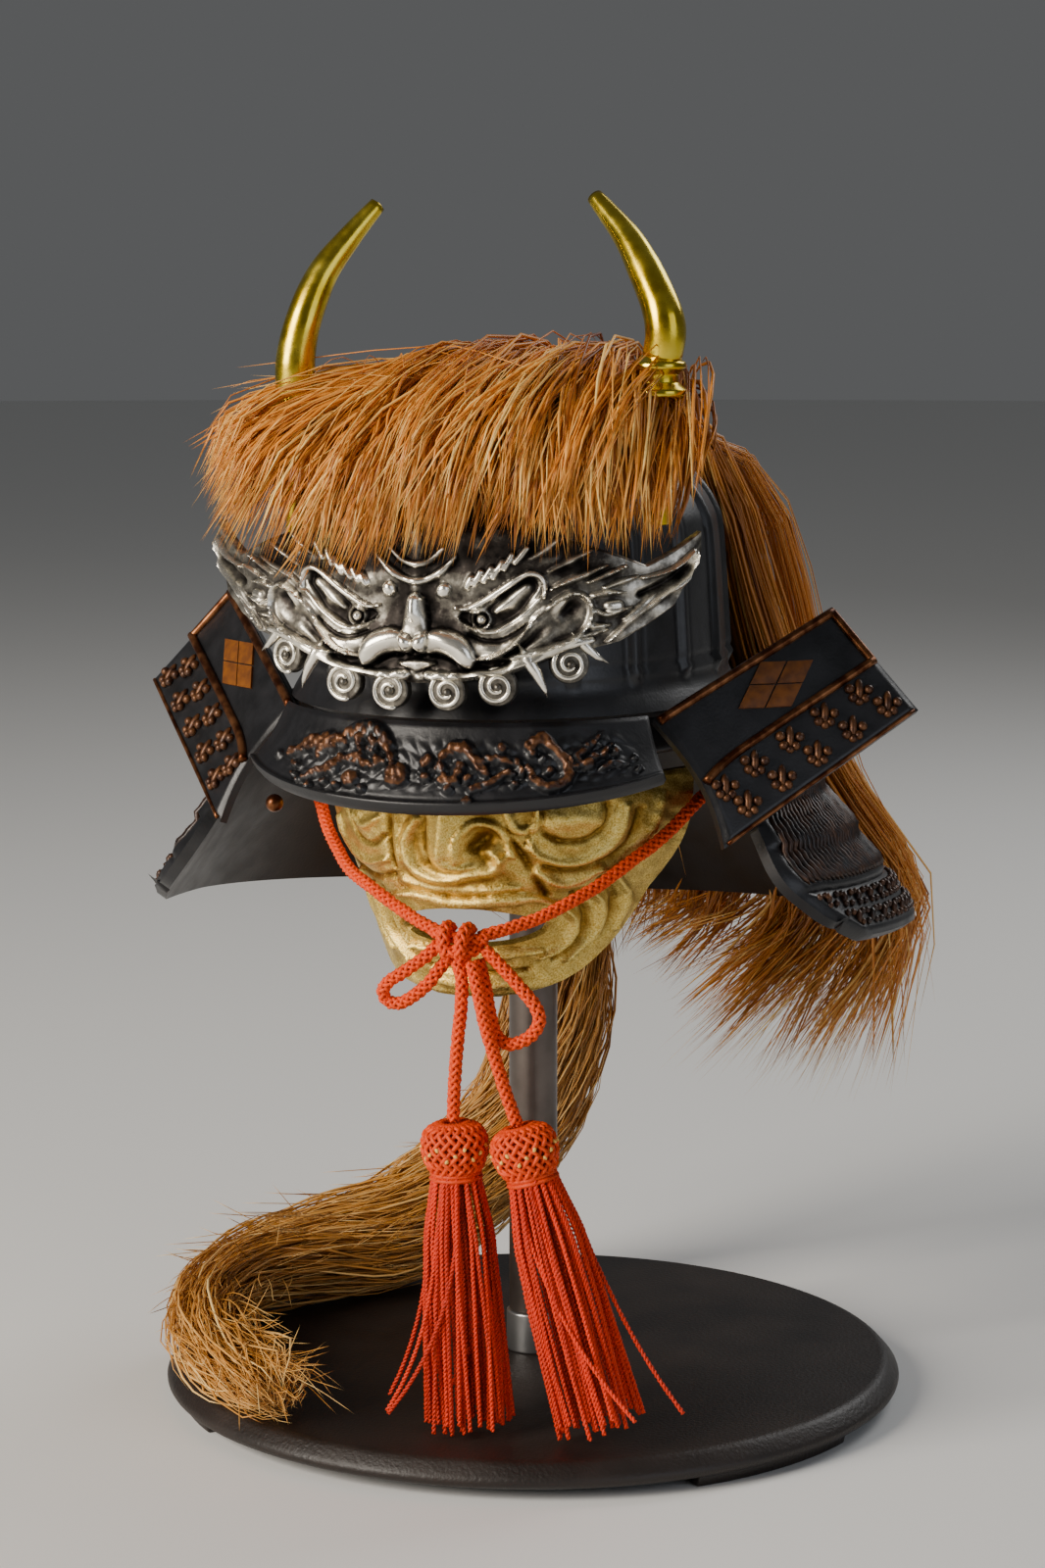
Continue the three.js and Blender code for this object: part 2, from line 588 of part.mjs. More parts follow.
// A lock of hair: a four-sided tapered strip through points, thick in its middle.
const lock = (points, thickness, steps, tip = 0.3) =>
  taperedRod(points, [0.7, 1, 1, 0.95, tip].map(share => share * thickness), 4, steps);

// Space round the horns, kept free of hair.
const hornSpaces = () => [HORN_RIGHT, HORN_LEFT].map(({ x, top }) => {
  const space = new THREE.CylinderGeometry(6.8, 6.8, top + 16 - 206, 8);
  space.rotateX(Math.PI / 2);
  space.translate(x, HORN_Y, (top + 16 + 206) / 2);
  return weld(space);
});

// Space round the crest, kept free of hair.
function crestSpace() {
  return bentBox(8, 1, 1, (u, v, w) => {
    const x = mix(-60, 60, u);
    return new THREE.Vector3(x, crestPlan(x) + mix(-5.6, 4.5, w), mix(176, 218, v));
  });
}

// The hair over the brow: locks that rise from the crown and fall forward in a fan.
function forelock() {
  const count = 12;
  const locks = [];
  for (let i = 0; i < count; i += 1) {
    const t = i / (count - 1);
    const x = mix(-62, 46, t);
    const y = -89 + 36 * Math.abs((x + 4) / 58) ** 2.2;
    const z = 207 + 9 * Math.abs((x + 12) / 54) ** 1.5 + (i % 2 ? 3 : 0);
    const root = mix(-26, 30, t);
    locks.push(lock([[root, -16, 239], [mix(root, x, 0.45), mix(-16, y, 0.45), 246 - 6 * Math.abs(x / 60)],
      [mix(root, x, 0.85), mix(-16, y, 0.86), 235 - 4 * Math.abs(x / 60)], [x, y, z]], 9.4, 3, 0.45));
  }
  const head = ball([2, -22, 239.5], [34, 22, 9.5], 10, 5);
  return toGeometry(largest(cut(fuse([head, ...locks]), [bowlSpace(18), crestSpace(), ...hornSpaces()])));
}

const MANE_LOCKS = [   // angle from the front, share outside the bowl, thickness, lower end
  { angle: 128, out: 1.14, thick: 6, x: 72, y: 44, z: 73 },
  { angle: 137, out: 1.16, thick: 7.6, x: 48, y: 51, z: 69 },
  { angle: 148, out: 1.2, thick: 8, x: 30, y: 56, z: 76 },
  { angle: 160, out: 1.2, thick: 8, x: 14, y: 70, z: 88 },
  { angle: 172, out: 1.2, thick: 8, x: 2, y: 89, z: 108 },
  { angle: 184, out: 1.2, thick: 8, x: -10, y: 90, z: 108 },
  { angle: 196, out: 1.2, thick: 8, x: -23, y: 88, z: 108 },
];

// The long hair behind: locks that leave the crown, pass over the neck guard and hang below it.
function mane() {
  const locks = MANE_LOCKS.map(({ angle, out, thick, x, y, z }) => {
    const beyond = new THREE.Vector3(Math.sin(radians(angle)), -Math.cos(radians(angle)), 0);
    const outside = (v, gap) => guardPoint(angle, v).addScaledVector(beyond, thick + gap);
    const points = [bowlPoint(angle, 0.45, 238), bowlPoint(angle, out - 0.2, 230), bowlPoint(angle, out, 204),
      outside(0.1, 7), outside(0.55, 6.1), outside(1, 5.6), new THREE.Vector3(x, y, z)];
    return lock(points.map(point => point.toArray()), thick, 7, z > 100 ? 0.7 : 0.3);
  });
  const head = ball([4, 10, 237.5], [32, 24, 9], 10, 5);
  return toGeometry(largest(cut(fuse([head, ...locks]), [bowlSpace(18), forelockSpace()])));
}

// Everything in front of the line on the crown where the two fields of hair part.
function forelockSpace() {
  const space = new THREE.BoxGeometry(140, 110, 120);
  space.translate(0, 0.6 - 55, 260);
  return weld(space);
}

const TAIL_ROWS = [   // the gathered end of the hair, from under the neck guard to its curled tip
  { x: -16, y: 85, z: 103.5, radius: 8 },
  { x: -19, y: 84.5, z: 92, radius: 12 },
  { x: -21, y: 80, z: 72, radius: 14 },
  { x: -26, y: 70, z: 50, radius: 14 },
  { x: -39, y: 57, z: 33, radius: 14 },
  { x: -52, y: 39, z: 23.5, radius: 13.6 },
  { x: -67, y: 21, z: 22, radius: 12 },
  { x: -77, y: 2, z: 20.5, radius: 10.5 },
  { x: -76, y: -22, z: 19.5, radius: 9.5 },
  { x: -67, y: -44, z: 19, radius: 9 },
  { x: -52, y: -62, z: 18, radius: 8.5 },
  { x: -38, y: -74, z: 17, radius: 7 },
  { x: -34, y: -81, z: 16, radius: 3 },
];

// The tail: it falls behind the post and lies on the stand, as a bundle of twisted strips.
function tail() {
  const points = TAIL_ROWS.map(({ x, y, z }) => [x, y, z]);
  const bundle = stripBundle(points, TAIL_ROWS.map(row => row.radius), 7, 0.6, 14, 0.74);
  const ground = new THREE.BoxGeometry(400, 400, 40);
  ground.translate(0, 0, STAND.top + GAP - 20);
  return toGeometry(cut(toSolid(bundle), [ground]));
}

// ---- Chin cord, bow and tassels ----

// A round cord along a curve through points, cut square at both ends.
function cordAlong(points, steps) {
  const section = new THREE.Shape();
  section.absarc(0, 0, CORD.radius, 0, 2 * Math.PI, false);
  return weld(new THREE.ExtrudeGeometry(section, { steps, bevelEnabled: false,
    curveSegments: CORD.sides / 2, extrudePath: new THREE.CatmullRomCurve3(points.map(vector)) }));
}

// Knot, left cheek, behind the post inside the neck guard, right cheek, knot.
const CHIN_ROUTE = [
  [0.4, -66.2, 124.6], [-5, -63.8, 125.9], [-11, -60.2, 127.8], [-16, -57.8, 129.9],
  [-21, -54.9, 132], [-28.8, -48.2, 134.6], [-35.8, -39.2, 138.6], [-39.8, -33.6, 141.3],
  [-43.4, -28, 144.9], [-46.7, -21.6, 149.6], [-47, -4, 153.4], [-40, 14, 156], [-26, 30, 158],
  [-8, 38, 159], [10, 38, 159], [28, 29, 158], [41, 13, 156], [47.2, -5, 153.4],
  [46.6, -22.2, 149.6], [43.2, -28, 144.9], [39.8, -33.4, 141.2], [36.6, -38.2, 138.5],
  [31.2, -44.8, 133.8], [25.9, -51.2, 130.4], [19.3, -57.8, 127], [9.7, -66.4, 124.2],
];
const LEFT_BOW = [
  [0.3, -68.6, 122.2], [-2.2, -69.4, 119.6], [-7, -69.8, 116], [-10.5, -69.6, 113.7],
  [-12.8, -68.6, 111.2], [-12.6, -67.4, 108.6], [-9.7, -67.6, 107.9], [-5.6, -68.4, 110.1],
  [-1.7, -68.8, 113.5], [0.6, -67.8, 116.8], [2.4, -66.8, 119.2],
];
const RIGHT_BOW = [
  [11.4, -68, 121.6], [16.3, -69, 117.5], [20.4, -69.3, 113.5], [23.5, -69, 109.8],
  [24.4, -68.6, 106.5], [22.7, -68.3, 103.2], [19.4, -68.2, 101], [16.2, -68.2, 100.6],
  [13.8, -68.4, 103.1], [12.6, -68.6, 107.8], [11.6, -68.4, 112.9], [9.6, -67.2, 119],
];
const LEFT_END = [
  [5.6, -70.6, 119.2], [7, -71.4, 115.1], [6.7, -71, 108.8], [5.3, -69.6, 100], [4, -68, 90.1],
  [3.4, -67.2, 81.8],
];
const RIGHT_END = [
  [9.4, -71.6, 119.4], [11.5, -72.8, 112.3], [13.1, -72.6, 104.9], [15.1, -70.8, 96.2],
  [16.9, -68.8, 88.3], [18.6, -67.2, 82.1],
];

const bowKnot = () => ball([KNOT.x, KNOT.y - 1.6, KNOT.z - 1.2], [4.2, 3.4, 3.4], 9, 6);

// A tassel: a knotted head, and a skirt of strips that hang from it, fused to it.
// top is where the cord enters, foot is the middle of the strips' lower ends.
function tassel(top, foot) {
  const from = vector(top);
  const direction = vector(foot).sub(from).normalize();
  const skirtTop = from.clone().addScaledVector(direction, TASSEL.headHeight - 1);
  const head = turned([[0, 0], [3.4, 0], [6.2, -2.2], [TASSEL.headRadius, -5.6], [6.5, -8.6],
    [5.2, -TASSEL.headHeight], [0, -TASSEL.headHeight]], 10);
  head.applyQuaternion(new THREE.Quaternion().setFromUnitVectors(new THREE.Vector3(0, 0, -1), direction));
  head.translate(...top);
  const middle = skirtTop.clone().lerp(vector(foot), 0.5);
  const skirt = stripBundle([skirtTop.toArray(), middle.toArray(), foot], TASSEL.skirtRadii,
    TASSEL.strips, 0.04, 4, 0.8);
  return toGeometry(fuse([head, skirt]));
}

// ---- The whole object ----

const object = new THREE.Group();

function add(name, geometry, material) {
  const mesh = new THREE.Mesh(geometry, material);
  mesh.name = name;
  object.add(mesh);
}

add('stand_base', standBase(), castIron);
add('post_ferrule', postFerrule(), steel);
add('stand_post', standPost(), steel);
add('mask_bracket', maskBracket(), steel);
add('bowl', bowl(), lacquer);
add('visor', visor(), lacquer);
add('neck_guard', neckGuard(), lacquer);
for (const [name, side] of [['left', -1], ['right', 1]]) {
  add(`turnback_${name}`, turnback(side), lacquer);
}
add('visor_rivet', visorRivet(), copper);
add('crest_mask', crestMask(), silver);
add('crest_pin', crestPin(), steel);
add('horn_left', horn(HORN_LEFT), gold);
add('horn_right', horn(HORN_RIGHT), gold);
add('face_mask', faceMask(), paleGold);
add('forelock', forelock(), hair);
add('mane', mane(), hair);
add('tail', tail(), hair);
add('chin_cord_loop', cordAlong(CHIN_ROUTE, 38), silk);
add('bow_loop_left', cordAlong(LEFT_BOW, 11), silk);
add('bow_loop_right', cordAlong(RIGHT_BOW, 12), silk);
add('cord_end_left', cordAlong(LEFT_END, 7), silk);
add('cord_end_right', cordAlong(RIGHT_END, 8), silk);
add('bow_knot', bowKnot(), silk);
add('tassel_left', tassel([3.4, -67, 81], [6.6, -66, 11.5]), silk);
add('tassel_right', tassel([19, -67, 81.2], [38, -66, 14]), silk);

export default object;
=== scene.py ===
# A kabuto samurai helmet on its display stand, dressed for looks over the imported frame.
# Metres, +Z up. The helmet faces -Y, and +X is to the right of someone facing it.
import json
import math
import random
import bmesh
import bpy
import numpy as np
from mathutils import Matrix, Vector

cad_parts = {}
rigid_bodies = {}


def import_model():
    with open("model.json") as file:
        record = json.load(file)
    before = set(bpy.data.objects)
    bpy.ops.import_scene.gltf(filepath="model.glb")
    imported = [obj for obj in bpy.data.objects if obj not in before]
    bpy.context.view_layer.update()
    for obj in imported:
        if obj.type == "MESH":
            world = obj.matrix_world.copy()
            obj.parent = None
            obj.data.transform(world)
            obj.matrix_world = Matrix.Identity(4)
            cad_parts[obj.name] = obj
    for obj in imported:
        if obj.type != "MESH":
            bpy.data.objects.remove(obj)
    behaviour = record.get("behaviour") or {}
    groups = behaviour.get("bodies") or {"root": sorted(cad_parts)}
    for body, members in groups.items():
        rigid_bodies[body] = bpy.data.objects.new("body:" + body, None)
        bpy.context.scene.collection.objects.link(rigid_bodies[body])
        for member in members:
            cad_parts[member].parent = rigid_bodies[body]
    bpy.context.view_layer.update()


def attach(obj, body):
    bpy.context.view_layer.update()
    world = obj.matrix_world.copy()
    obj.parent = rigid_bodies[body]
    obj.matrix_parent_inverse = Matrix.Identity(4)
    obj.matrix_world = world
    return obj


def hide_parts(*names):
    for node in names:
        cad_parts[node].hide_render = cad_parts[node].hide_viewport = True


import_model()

scene = bpy.context.scene
packed = set(scene.objects)
mm = 0.001



def toLinear(hexColour):
    parts = [int(hexColour[i:i + 2], 16) / 255 for i in (1, 3, 5)]
    return [c / 12.92 if c <= 0.04045 else ((c + 0.055) / 1.055) ** 2.4 for c in parts]


def paint(hexColour):
    return (*toLinear(hexColour), 1)


def mix(a, b, t):
    return a + (b - a) * t


def smoothStep(low, high, value):
    t = np.clip((value - low) / (high - low), 0, 1)
    return t * t * (3 - 2 * t)


# The points of a smooth curve through others, evenly spaced along it.
def smoothLine(points, count, fine=24):
    given = np.array(points, float)
    ends = np.vstack([2 * given[0] - given[1], given, 2 * given[-1] - given[-2]])
    t = np.linspace(0, 1, fine, endpoint=False)[:, None]
    parts = []
    for a, b, c, d in zip(ends, ends[1:], ends[2:], ends[3:]):
        parts.append(0.5 * (2 * b + (c - a) * t + (2 * a - 5 * b + 4 * c - d) * t ** 2
                            + (3 * b - a - 3 * c + d) * t ** 3))
    line = np.vstack([*parts, given[-1:]])
    gone = np.concatenate([[0], np.cumsum(np.linalg.norm(np.diff(line, axis=0), axis=1))])
    places = np.linspace(0, gone[-1], count)
    return np.stack([np.interp(places, gone, line[:, i]) for i in range(line.shape[1])], 1)


def lineLength(line):
    return float(np.linalg.norm(np.diff(np.asarray(line), axis=0), axis=1).sum())


# Two directions square to a line at each of its points, carried along it without twist.
def sideways(line):
    along = np.gradient(line, axis=0)
    along /= np.linalg.norm(along, axis=1)[:, None]
    first = np.cross(along[0], [0.0, 0.0, 1.0] if abs(along[0][2]) < 0.9 else [1.0, 0.0, 0.0])
    across = [first / np.linalg.norm(first)]
    for direction in along[1:]:
        carried = across[-1] - direction * np.dot(across[-1], direction)
        across.append(carried / np.linalg.norm(carried))
    across = np.array(across)
    return across, np.cross(along, across)


# A shader node with its settings and links. A colour ramp's stops are (place, hex) pairs.
def addNode(tree, kind, inputs=None, stops=(), **settings):
    made = tree.nodes.new("ShaderNode" + kind)
    for key, value in settings.items():
        setattr(made, key, value)
    for key, value in (inputs or {}).items():
        if isinstance(value, bpy.types.NodeSocket):
            tree.links.new(value, made.inputs[key])
        else:
            made.inputs[key].default_value = value
    if stops:
        ramp = made.color_ramp
        while len(ramp.elements) < len(stops):
            ramp.elements.new(0.5)
        for element, (place, hexColour) in zip(ramp.elements, stops):
            element.position, element.color = place, paint(hexColour)
    return made


def perMm(size):    # pattern scale for features of this size in millimetres
    return 1000 / size


def newMaterial(name, **values):
    made = bpy.data.materials.new(name)
    made.use_nodes = True
    shader = made.node_tree.nodes["Principled BSDF"]
    for key, value in values.items():
        shader.inputs[key.replace("_", " ")].default_value = value
    return made, made.node_tree, shader


def noiseOn(tree, size, detail=3.0, coordinates=None, rough=0.5, stretch=None):
    place = coordinates or addNode(tree, "TexCoord").outputs["Object"]
    if stretch:
        place = addNode(tree, "Mapping", {"Vector": place, "Scale": stretch}).outputs["Vector"]
    return addNode(tree, "TexNoise", {"Vector": place, "Scale": perMm(size), "Detail": detail,
                                      "Roughness": rough}).outputs["Fac"]


def level(tree, value, low, high, lowOut=0.0, highOut=1.0):
    return addNode(tree, "MapRange", {"Value": value, "From Min": low, "From Max": high,
                                      "To Min": lowOut, "To Max": highOut}).outputs["Result"]


def blend(tree, factor, first, second):
    made = addNode(tree, "Mix", data_type="RGBA")
    for index, value in ((0, factor), (6, first), (7, second)):
        if isinstance(value, bpy.types.NodeSocket):
            tree.links.new(value, made.inputs[index])
        else:
            made.inputs[index].default_value = value if index == 0 else paint(value)
    return made.outputs[2]


def roughen(tree, shader, height, distance, strength=1.0):
    bump = addNode(tree, "Bump", {"Height": height, "Distance": distance * mm, "Strength": strength})
    tree.links.new(bump.outputs["Normal"], shader.inputs["Normal"])


def attribute(tree, name):
    return addNode(tree, "Attribute", attribute_name=name).outputs["Fac"]


def combine(tree, a, b, kind="MULTIPLY"):
    return addNode(tree, "Math", {0: a, 1: b}, operation=kind).outputs["Value"]


# Cast iron under brown-black stove enamel: satin, with the sand's grain just showing.
def stoveEnamel():
    made, tree, shader = newMaterial("stoveEnamelledCastIron", Roughness=0.5)
    cloud = noiseOn(tree, 22, 5)
    grain = noiseOn(tree, 0.9, 3)
    tree.links.new(blend(tree, level(tree, cloud, 0.3, 0.7), "#150e0a", "#241a14"),
                   shader.inputs["Base Color"])
    tree.links.new(level(tree, cloud, 0.3, 0.7, 0.42, 0.58), shader.inputs["Roughness"])
    roughen(tree, shader, grain, 0.22, 0.7)
    return made


# Turned steel gone dark: soft vertical gleam with faint tool rings.
def turnedSteel(name, dark, light, rough):
    made, tree, shader = newMaterial(name, Metallic=0.85, Roughness=rough)
    rings = noiseOn(tree, 1.2, 2, stretch=(0.05, 0.05, 1))
    cloud = noiseOn(tree, 9, 4)
    tree.links.new(blend(tree, cloud, dark, light), shader.inputs["Base Color"])
    roughen(tree, shader, rings, 0.04, 0.35)
    return made


# Black lacquer on cast iron: blue-black gleam over a fine leathery skin. The attribute "rub"
# is 1 where hands and cloth have rubbed the lacquer through to brown copper.
def rubbedLacquer(name, rubbed=True):
    made, tree, shader = newMaterial(name, Roughness=0.4, Coat_Weight=0.12, Coat_Roughness=0.35)
    skin = noiseOn(tree, 0.7, 2)
    cloud = noiseOn(tree, 7, 5, rough=0.6)
    black = blend(tree, level(tree, cloud, 0.35, 0.7), "#0a0a0c", "#141418")
    base = black
    if rubbed:
        worn = level(tree, combine(tree, attribute(tree, "rub"), level(tree, cloud, 0.25, 0.6, 0.45, 1.1)),
                     0.3, 0.75)
        brown = blend(tree, level(tree, noiseOn(tree, 1.6, 3), 0.35, 0.65), "#33190a", "#6b4426")
        base = blend(tree, worn, black, brown)
        tree.links.new(combine(tree, worn, 0.6), shader.inputs["Metallic"])
    tree.links.new(base, shader.inputs["Base Color"])
    tree.links.new(level(tree, cloud, 0.3, 0.7, 0.34, 0.5), shader.inputs["Roughness"])
    roughen(tree, shader, skin, 0.1, 0.55)
    return made


# Copper plate worn on its high edge: red-brown with pinker metal where it is bright.
def wornCopper():
    made, tree, shader = newMaterial("wornCopperPlate", Metallic=0.85, Roughness=0.34)
    patch = noiseOn(tree, 3.5, 4)
    tree.links.new(blend(tree, level(tree, patch, 0.4, 0.68), "#472109", "#905e3a"),
                   shader.inputs["Base Color"])
    roughen(tree, shader, noiseOn(tree, 0.5, 2), 0.03, 0.4)
    return made


# Brown urushi fill in the diamonds: flat amber brown, slightly uneven, thin dark edges.
def amberUrushi():
    made, tree, shader = newMaterial("amberUrushiInlay", Roughness=0.42)
    tree.links.new(blend(tree, level(tree, noiseOn(tree, 2.4, 4), 0.35, 0.65), "#5a3006", "#7a450c"),
                   shader.inputs["Base Color"])
    roughen(tree, shader, noiseOn(tree, 0.4, 2), 0.02, 0.4)
    return made


# Silver-plated casting, blackened and wiped: bright crests, soot left in the hollows.
# The attribute "crest" is 1 on what stands out and 0 in what is cut in; on the crest mask it also holds painted
# shade, darker on the forehead under the hair.
def wipedSilver():
    made, tree, shader = newMaterial("wipedAntiqueSilver", Metallic=0.95, Roughness=0.3)
    cloud = noiseOn(tree, 2.2, 5, rough=0.65)
    wipedAndShaded = combine(tree, attribute(tree, "crest"), level(tree, cloud, 0.3, 0.7, -0.14, 0.14), "ADD")
    ramp = addNode(tree, "ValToRGB", {"Fac": wipedAndShaded},
                   stops=((0.0, "#0d0b0a"), (0.28, "#2e2a27"), (0.48, "#6c6860"), (0.68, "#c9c3b5"),
                          (1.0, "#fbf6e8")))
    tree.links.new(ramp.outputs["Color"], shader.inputs["Base Color"])
    tree.links.new(level(tree, wipedAndShaded, 0.2, 0.8, 0.5, 0.24), shader.inputs["Roughness"])
    roughen(tree, shader, noiseOn(tree, 0.55, 3), 0.05, 0.6)
    return made


# Polished gilt on the horns: bright yellow with an amber tint, its gloss uneven in patches.
def polishedGilt():
    made, tree, shader = newMaterial("polishedGiltBrass", Metallic=1.0, Roughness=0.22)
    cloud = noiseOn(tree, 9, 4)
    tree.links.new(blend(tree, level(tree, cloud, 0.35, 0.7), "#c4a41c", "#ecd654"),
                   shader.inputs["Base Color"])
    tree.links.new(level(tree, noiseOn(tree, 4, 4), 0.3, 0.7, 0.16, 0.32), shader.inputs["Roughness"])
    roughen(tree, shader, noiseOn(tree, 2.5, 3), 0.05, 0.5)
    return made


# Pale gilt over a sand casting: gritty sparkle, browner in the hollows.
def sandGilt():
    made, tree, shader = newMaterial("paleGiltSandCasting", Metallic=0.85, Roughness=0.4)
    grit = noiseOn(tree, 0.42, 2, rough=0.7)
    cloud = noiseOn(tree, 5, 4)
    high = blend(tree, level(tree, grit, 0.36, 0.64), "#c69c34", "#ffe68c")
    low = blend(tree, level(tree, grit, 0.3, 0.7), "#66480c", "#a67e2c")
    shade = combine(tree, attribute(tree, "crest"), level(tree, cloud, 0.3, 0.7, -0.15, 0.15), "ADD")
    tree.links.new(blend(tree, level(tree, shade, 0.15, 0.6), low, high), shader.inputs["Base Color"])
    tree.links.new(level(tree, grit, 0.3, 0.7, 0.28, 0.5), shader.inputs["Roughness"])
    roughen(tree, shader, grit, 0.16, 0.9)
    return made


# Horsehair: each hair one shade of copper brown, paler to the tip, with a soft long gleam.
# The attribute "tone" is the hair's own shade, with painted shade added: hairs lying underneath or inside the mass
# are darker.
def horsehair(name, dark, middle, light):
    made, tree, shader = newMaterial(name, Roughness=0.42, Specular_IOR_Level=0.6)
    ramp = addNode(tree, "ValToRGB", {"Fac": attribute(tree, "tone")},
                   stops=((0.0, dark), (0.5, middle), (1.0, light)))
    tree.links.new(ramp.outputs["Color"], shader.inputs["Base Color"])
    return made


# Spun silk in a tight braid: orange, with a redder painted shade where the yarn turns under.
def spunSilk(name, deep, bright, sheen=0.35):
    made, tree, shader = newMaterial(name, Roughness=0.55, Sheen_Weight=sheen, Sheen_Roughness=0.4,
                                     Specular_IOR_Level=0.35)
    fibre = noiseOn(tree, 0.35, 2)
    shade = combine(tree, attribute(tree, "tone"), level(tree, fibre, 0.3, 0.7, -0.25, 0.25), "ADD")
    ramp = addNode(tree, "ValToRGB", {"Fac": shade}, stops=((0.0, deep), (1.0, bright)))
    tree.links.new(ramp.outputs["Color"], shader.inputs["Base Color"])
    shader.inputs["Sheen Tint"].default_value = paint("#ffb080")
    roughen(tree, shader, fibre, 0.08, 0.6)
    return made


# Matt white card for the floor.
def floorCard():
    made, _, shader = newMaterial("mattCard", Roughness=0.8, Specular_IOR_Level=0.2)
    shader.inputs["Base Color"].default_value = paint("#ececea")
    return made


enamel = stoveEnamel()
darkSteel = turnedSteel("darkTurnedSteel", "#463e39", "#7c726c", 0.36)
bareSteel = turnedSteel("bareTurnedSteel", "#6f6f70", "#a3a3a2", 0.3)
plainLacquer = rubbedLacquer("blackLacquerOnIron", rubbed=False)
reliefLacquer = rubbedLacquer("rubbedBlackLacquer")
copper = wornCopper()
inlay = amberUrushi()
silver = wipedSilver()
gilt = polishedGilt()
maskGilt = sandGilt()
crestHair = horsehair("copperHorsehair", "#773a06", "#e08e2c", "#ffd87e")
tailHair = horsehair("paleHorsehair", "#70400e", "#d0903a", "#fbd78c")
braidSilk = spunSilk("orangeBraidedSilk", "#921800", "#f84e00", 0.05)
tasselSilk = spunSilk("redOrangeTwistedSilk", "#8e1200", "#f63a04", 0.08)
goldThread = spunSilk("goldSilkThread", "#c07818", "#ffd070", 0.2)
card = floorCard()


def newObject(name, mesh, *materials):
    made = bpy.data.objects.new(name, mesh)
    scene.collection.objects.link(made)
    for material in materials:
        mesh.materials.append(material)
    return made


def fromBmesh(name, bm, *materials, smooth=True):
    mesh = bpy.data.meshes.new(name)
    bm.to_mesh(mesh)
    bm.free()
    if smooth:
        mesh.shade_smooth()
    return newObject(name, mesh, *materials)


def setAttribute(mesh, name, values):
    layer = mesh.attributes.get(name) or mesh.attributes.new(name, "FLOAT", "POINT")
    layer.data.foreach_set("value", np.asarray(values, np.float32))


# Tubes along lines, as one mesh. Each line is (points, radii, tone) in millimetres. A blunt tube
# gets a flat end, and the others run out to a point.
def tubes(name, lines, material, sides=4, blunt=False):
    curve = bpy.data.curves.new(name, "CURVE")
    curve.dimensions = "3D"
    curve.bevel_depth = mm
    curve.bevel_resolution = (sides - 4) // 2
    tones = []
    for points, radii, tone in lines:
        points = np.asarray(points, float)
        radii = np.array(np.broadcast_to(radii, len(points)), float)
        tone = np.broadcast_to(tone, len(points))
        if blunt:
            ends = 0.03 * (points[[0, -1]] - points[[1, -2]])
            points = np.vstack([points[:1] + ends[:1], points, points[-1:] + ends[1:]])
            radii, tone = np.pad(radii, 1, "edge"), np.pad(tone, 1, "edge")
        radii[[0, -1]] = 0
        spline = curve.splines.new("POLY")
        spline.points.add(len(points) - 1)
        spline.points.foreach_set("co", np.c_[points * mm, np.ones(len(points))].ravel())
        spline.points.foreach_set("radius", radii.astype(np.float32))
        tones.append(np.repeat(tone, sides))
    holder = newObject(name + "Line", curve)
    ready = holder.evaluated_get(bpy.context.evaluated_depsgraph_get())
    mesh = bpy.data.meshes.new_from_object(ready)
    bpy.data.objects.remove(holder)
    setAttribute(mesh, "tone", np.concatenate(tones))
    bm = bmesh.new()
    bm.from_mesh(mesh)
    bpy.data.meshes.remove(mesh)
    bmesh.ops.remove_doubles(bm, verts=bm.verts, dist=1e-8)
    return fromBmesh(name, bm, material)


def dress(piece, *nodes, body="root"):
    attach(piece, body)
    if nodes:
        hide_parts(*nodes)
    return piece


# One mesh from several, keeping their materials and attributes.
def join(name, pieces):
    bm = bmesh.new()
    materials = []
    for piece in pieces:
        for material in piece.data.materials:
            if material not in materials:
                materials.append(material)
    for piece in pieces:
        start = len(bm.faces)
        bm.from_mesh(piece.data)
        bm.faces.ensure_lookup_table()
        slots = [materials.index(m) for m in piece.data.materials]
        for face in bm.faces[start:]:
            face.material_index = slots[face.material_index] if slots else 0
    made = fromBmesh(name, bm, *materials)
    for piece in pieces:
        bpy.data.objects.remove(piece)
    return made


# A fine sheet laid on a surface: place(u, v) gives arrays of points in millimetres.
def gridOn(place, columns, rows):
    bm = bmesh.new()
    bmesh.ops.create_grid(bm, x_segments=columns, y_segments=rows, size=0.5)
    uv = np.array([v.co.xy for v in bm.verts]) + 0.5
    for vert, point in zip(bm.verts, place(uv[:, 0], uv[:, 1]) * mm):
        vert.co = point
    return bm, uv


def standOff(surface, u, v, height):
    reach = 0.003
    u, v = np.asarray(u, float), np.asarray(v, float)
    across = surface(np.minimum(u + reach, 1), v) - surface(np.maximum(u - reach, 0), v)
    down = surface(u, np.minimum(v + reach, 1)) - surface(u, np.maximum(v - reach, 0))
    normal = np.cross(across, down)
    normal /= np.linalg.norm(normal, axis=1)[:, None]
    return surface(u, v) + normal * np.asarray(height)[:, None]


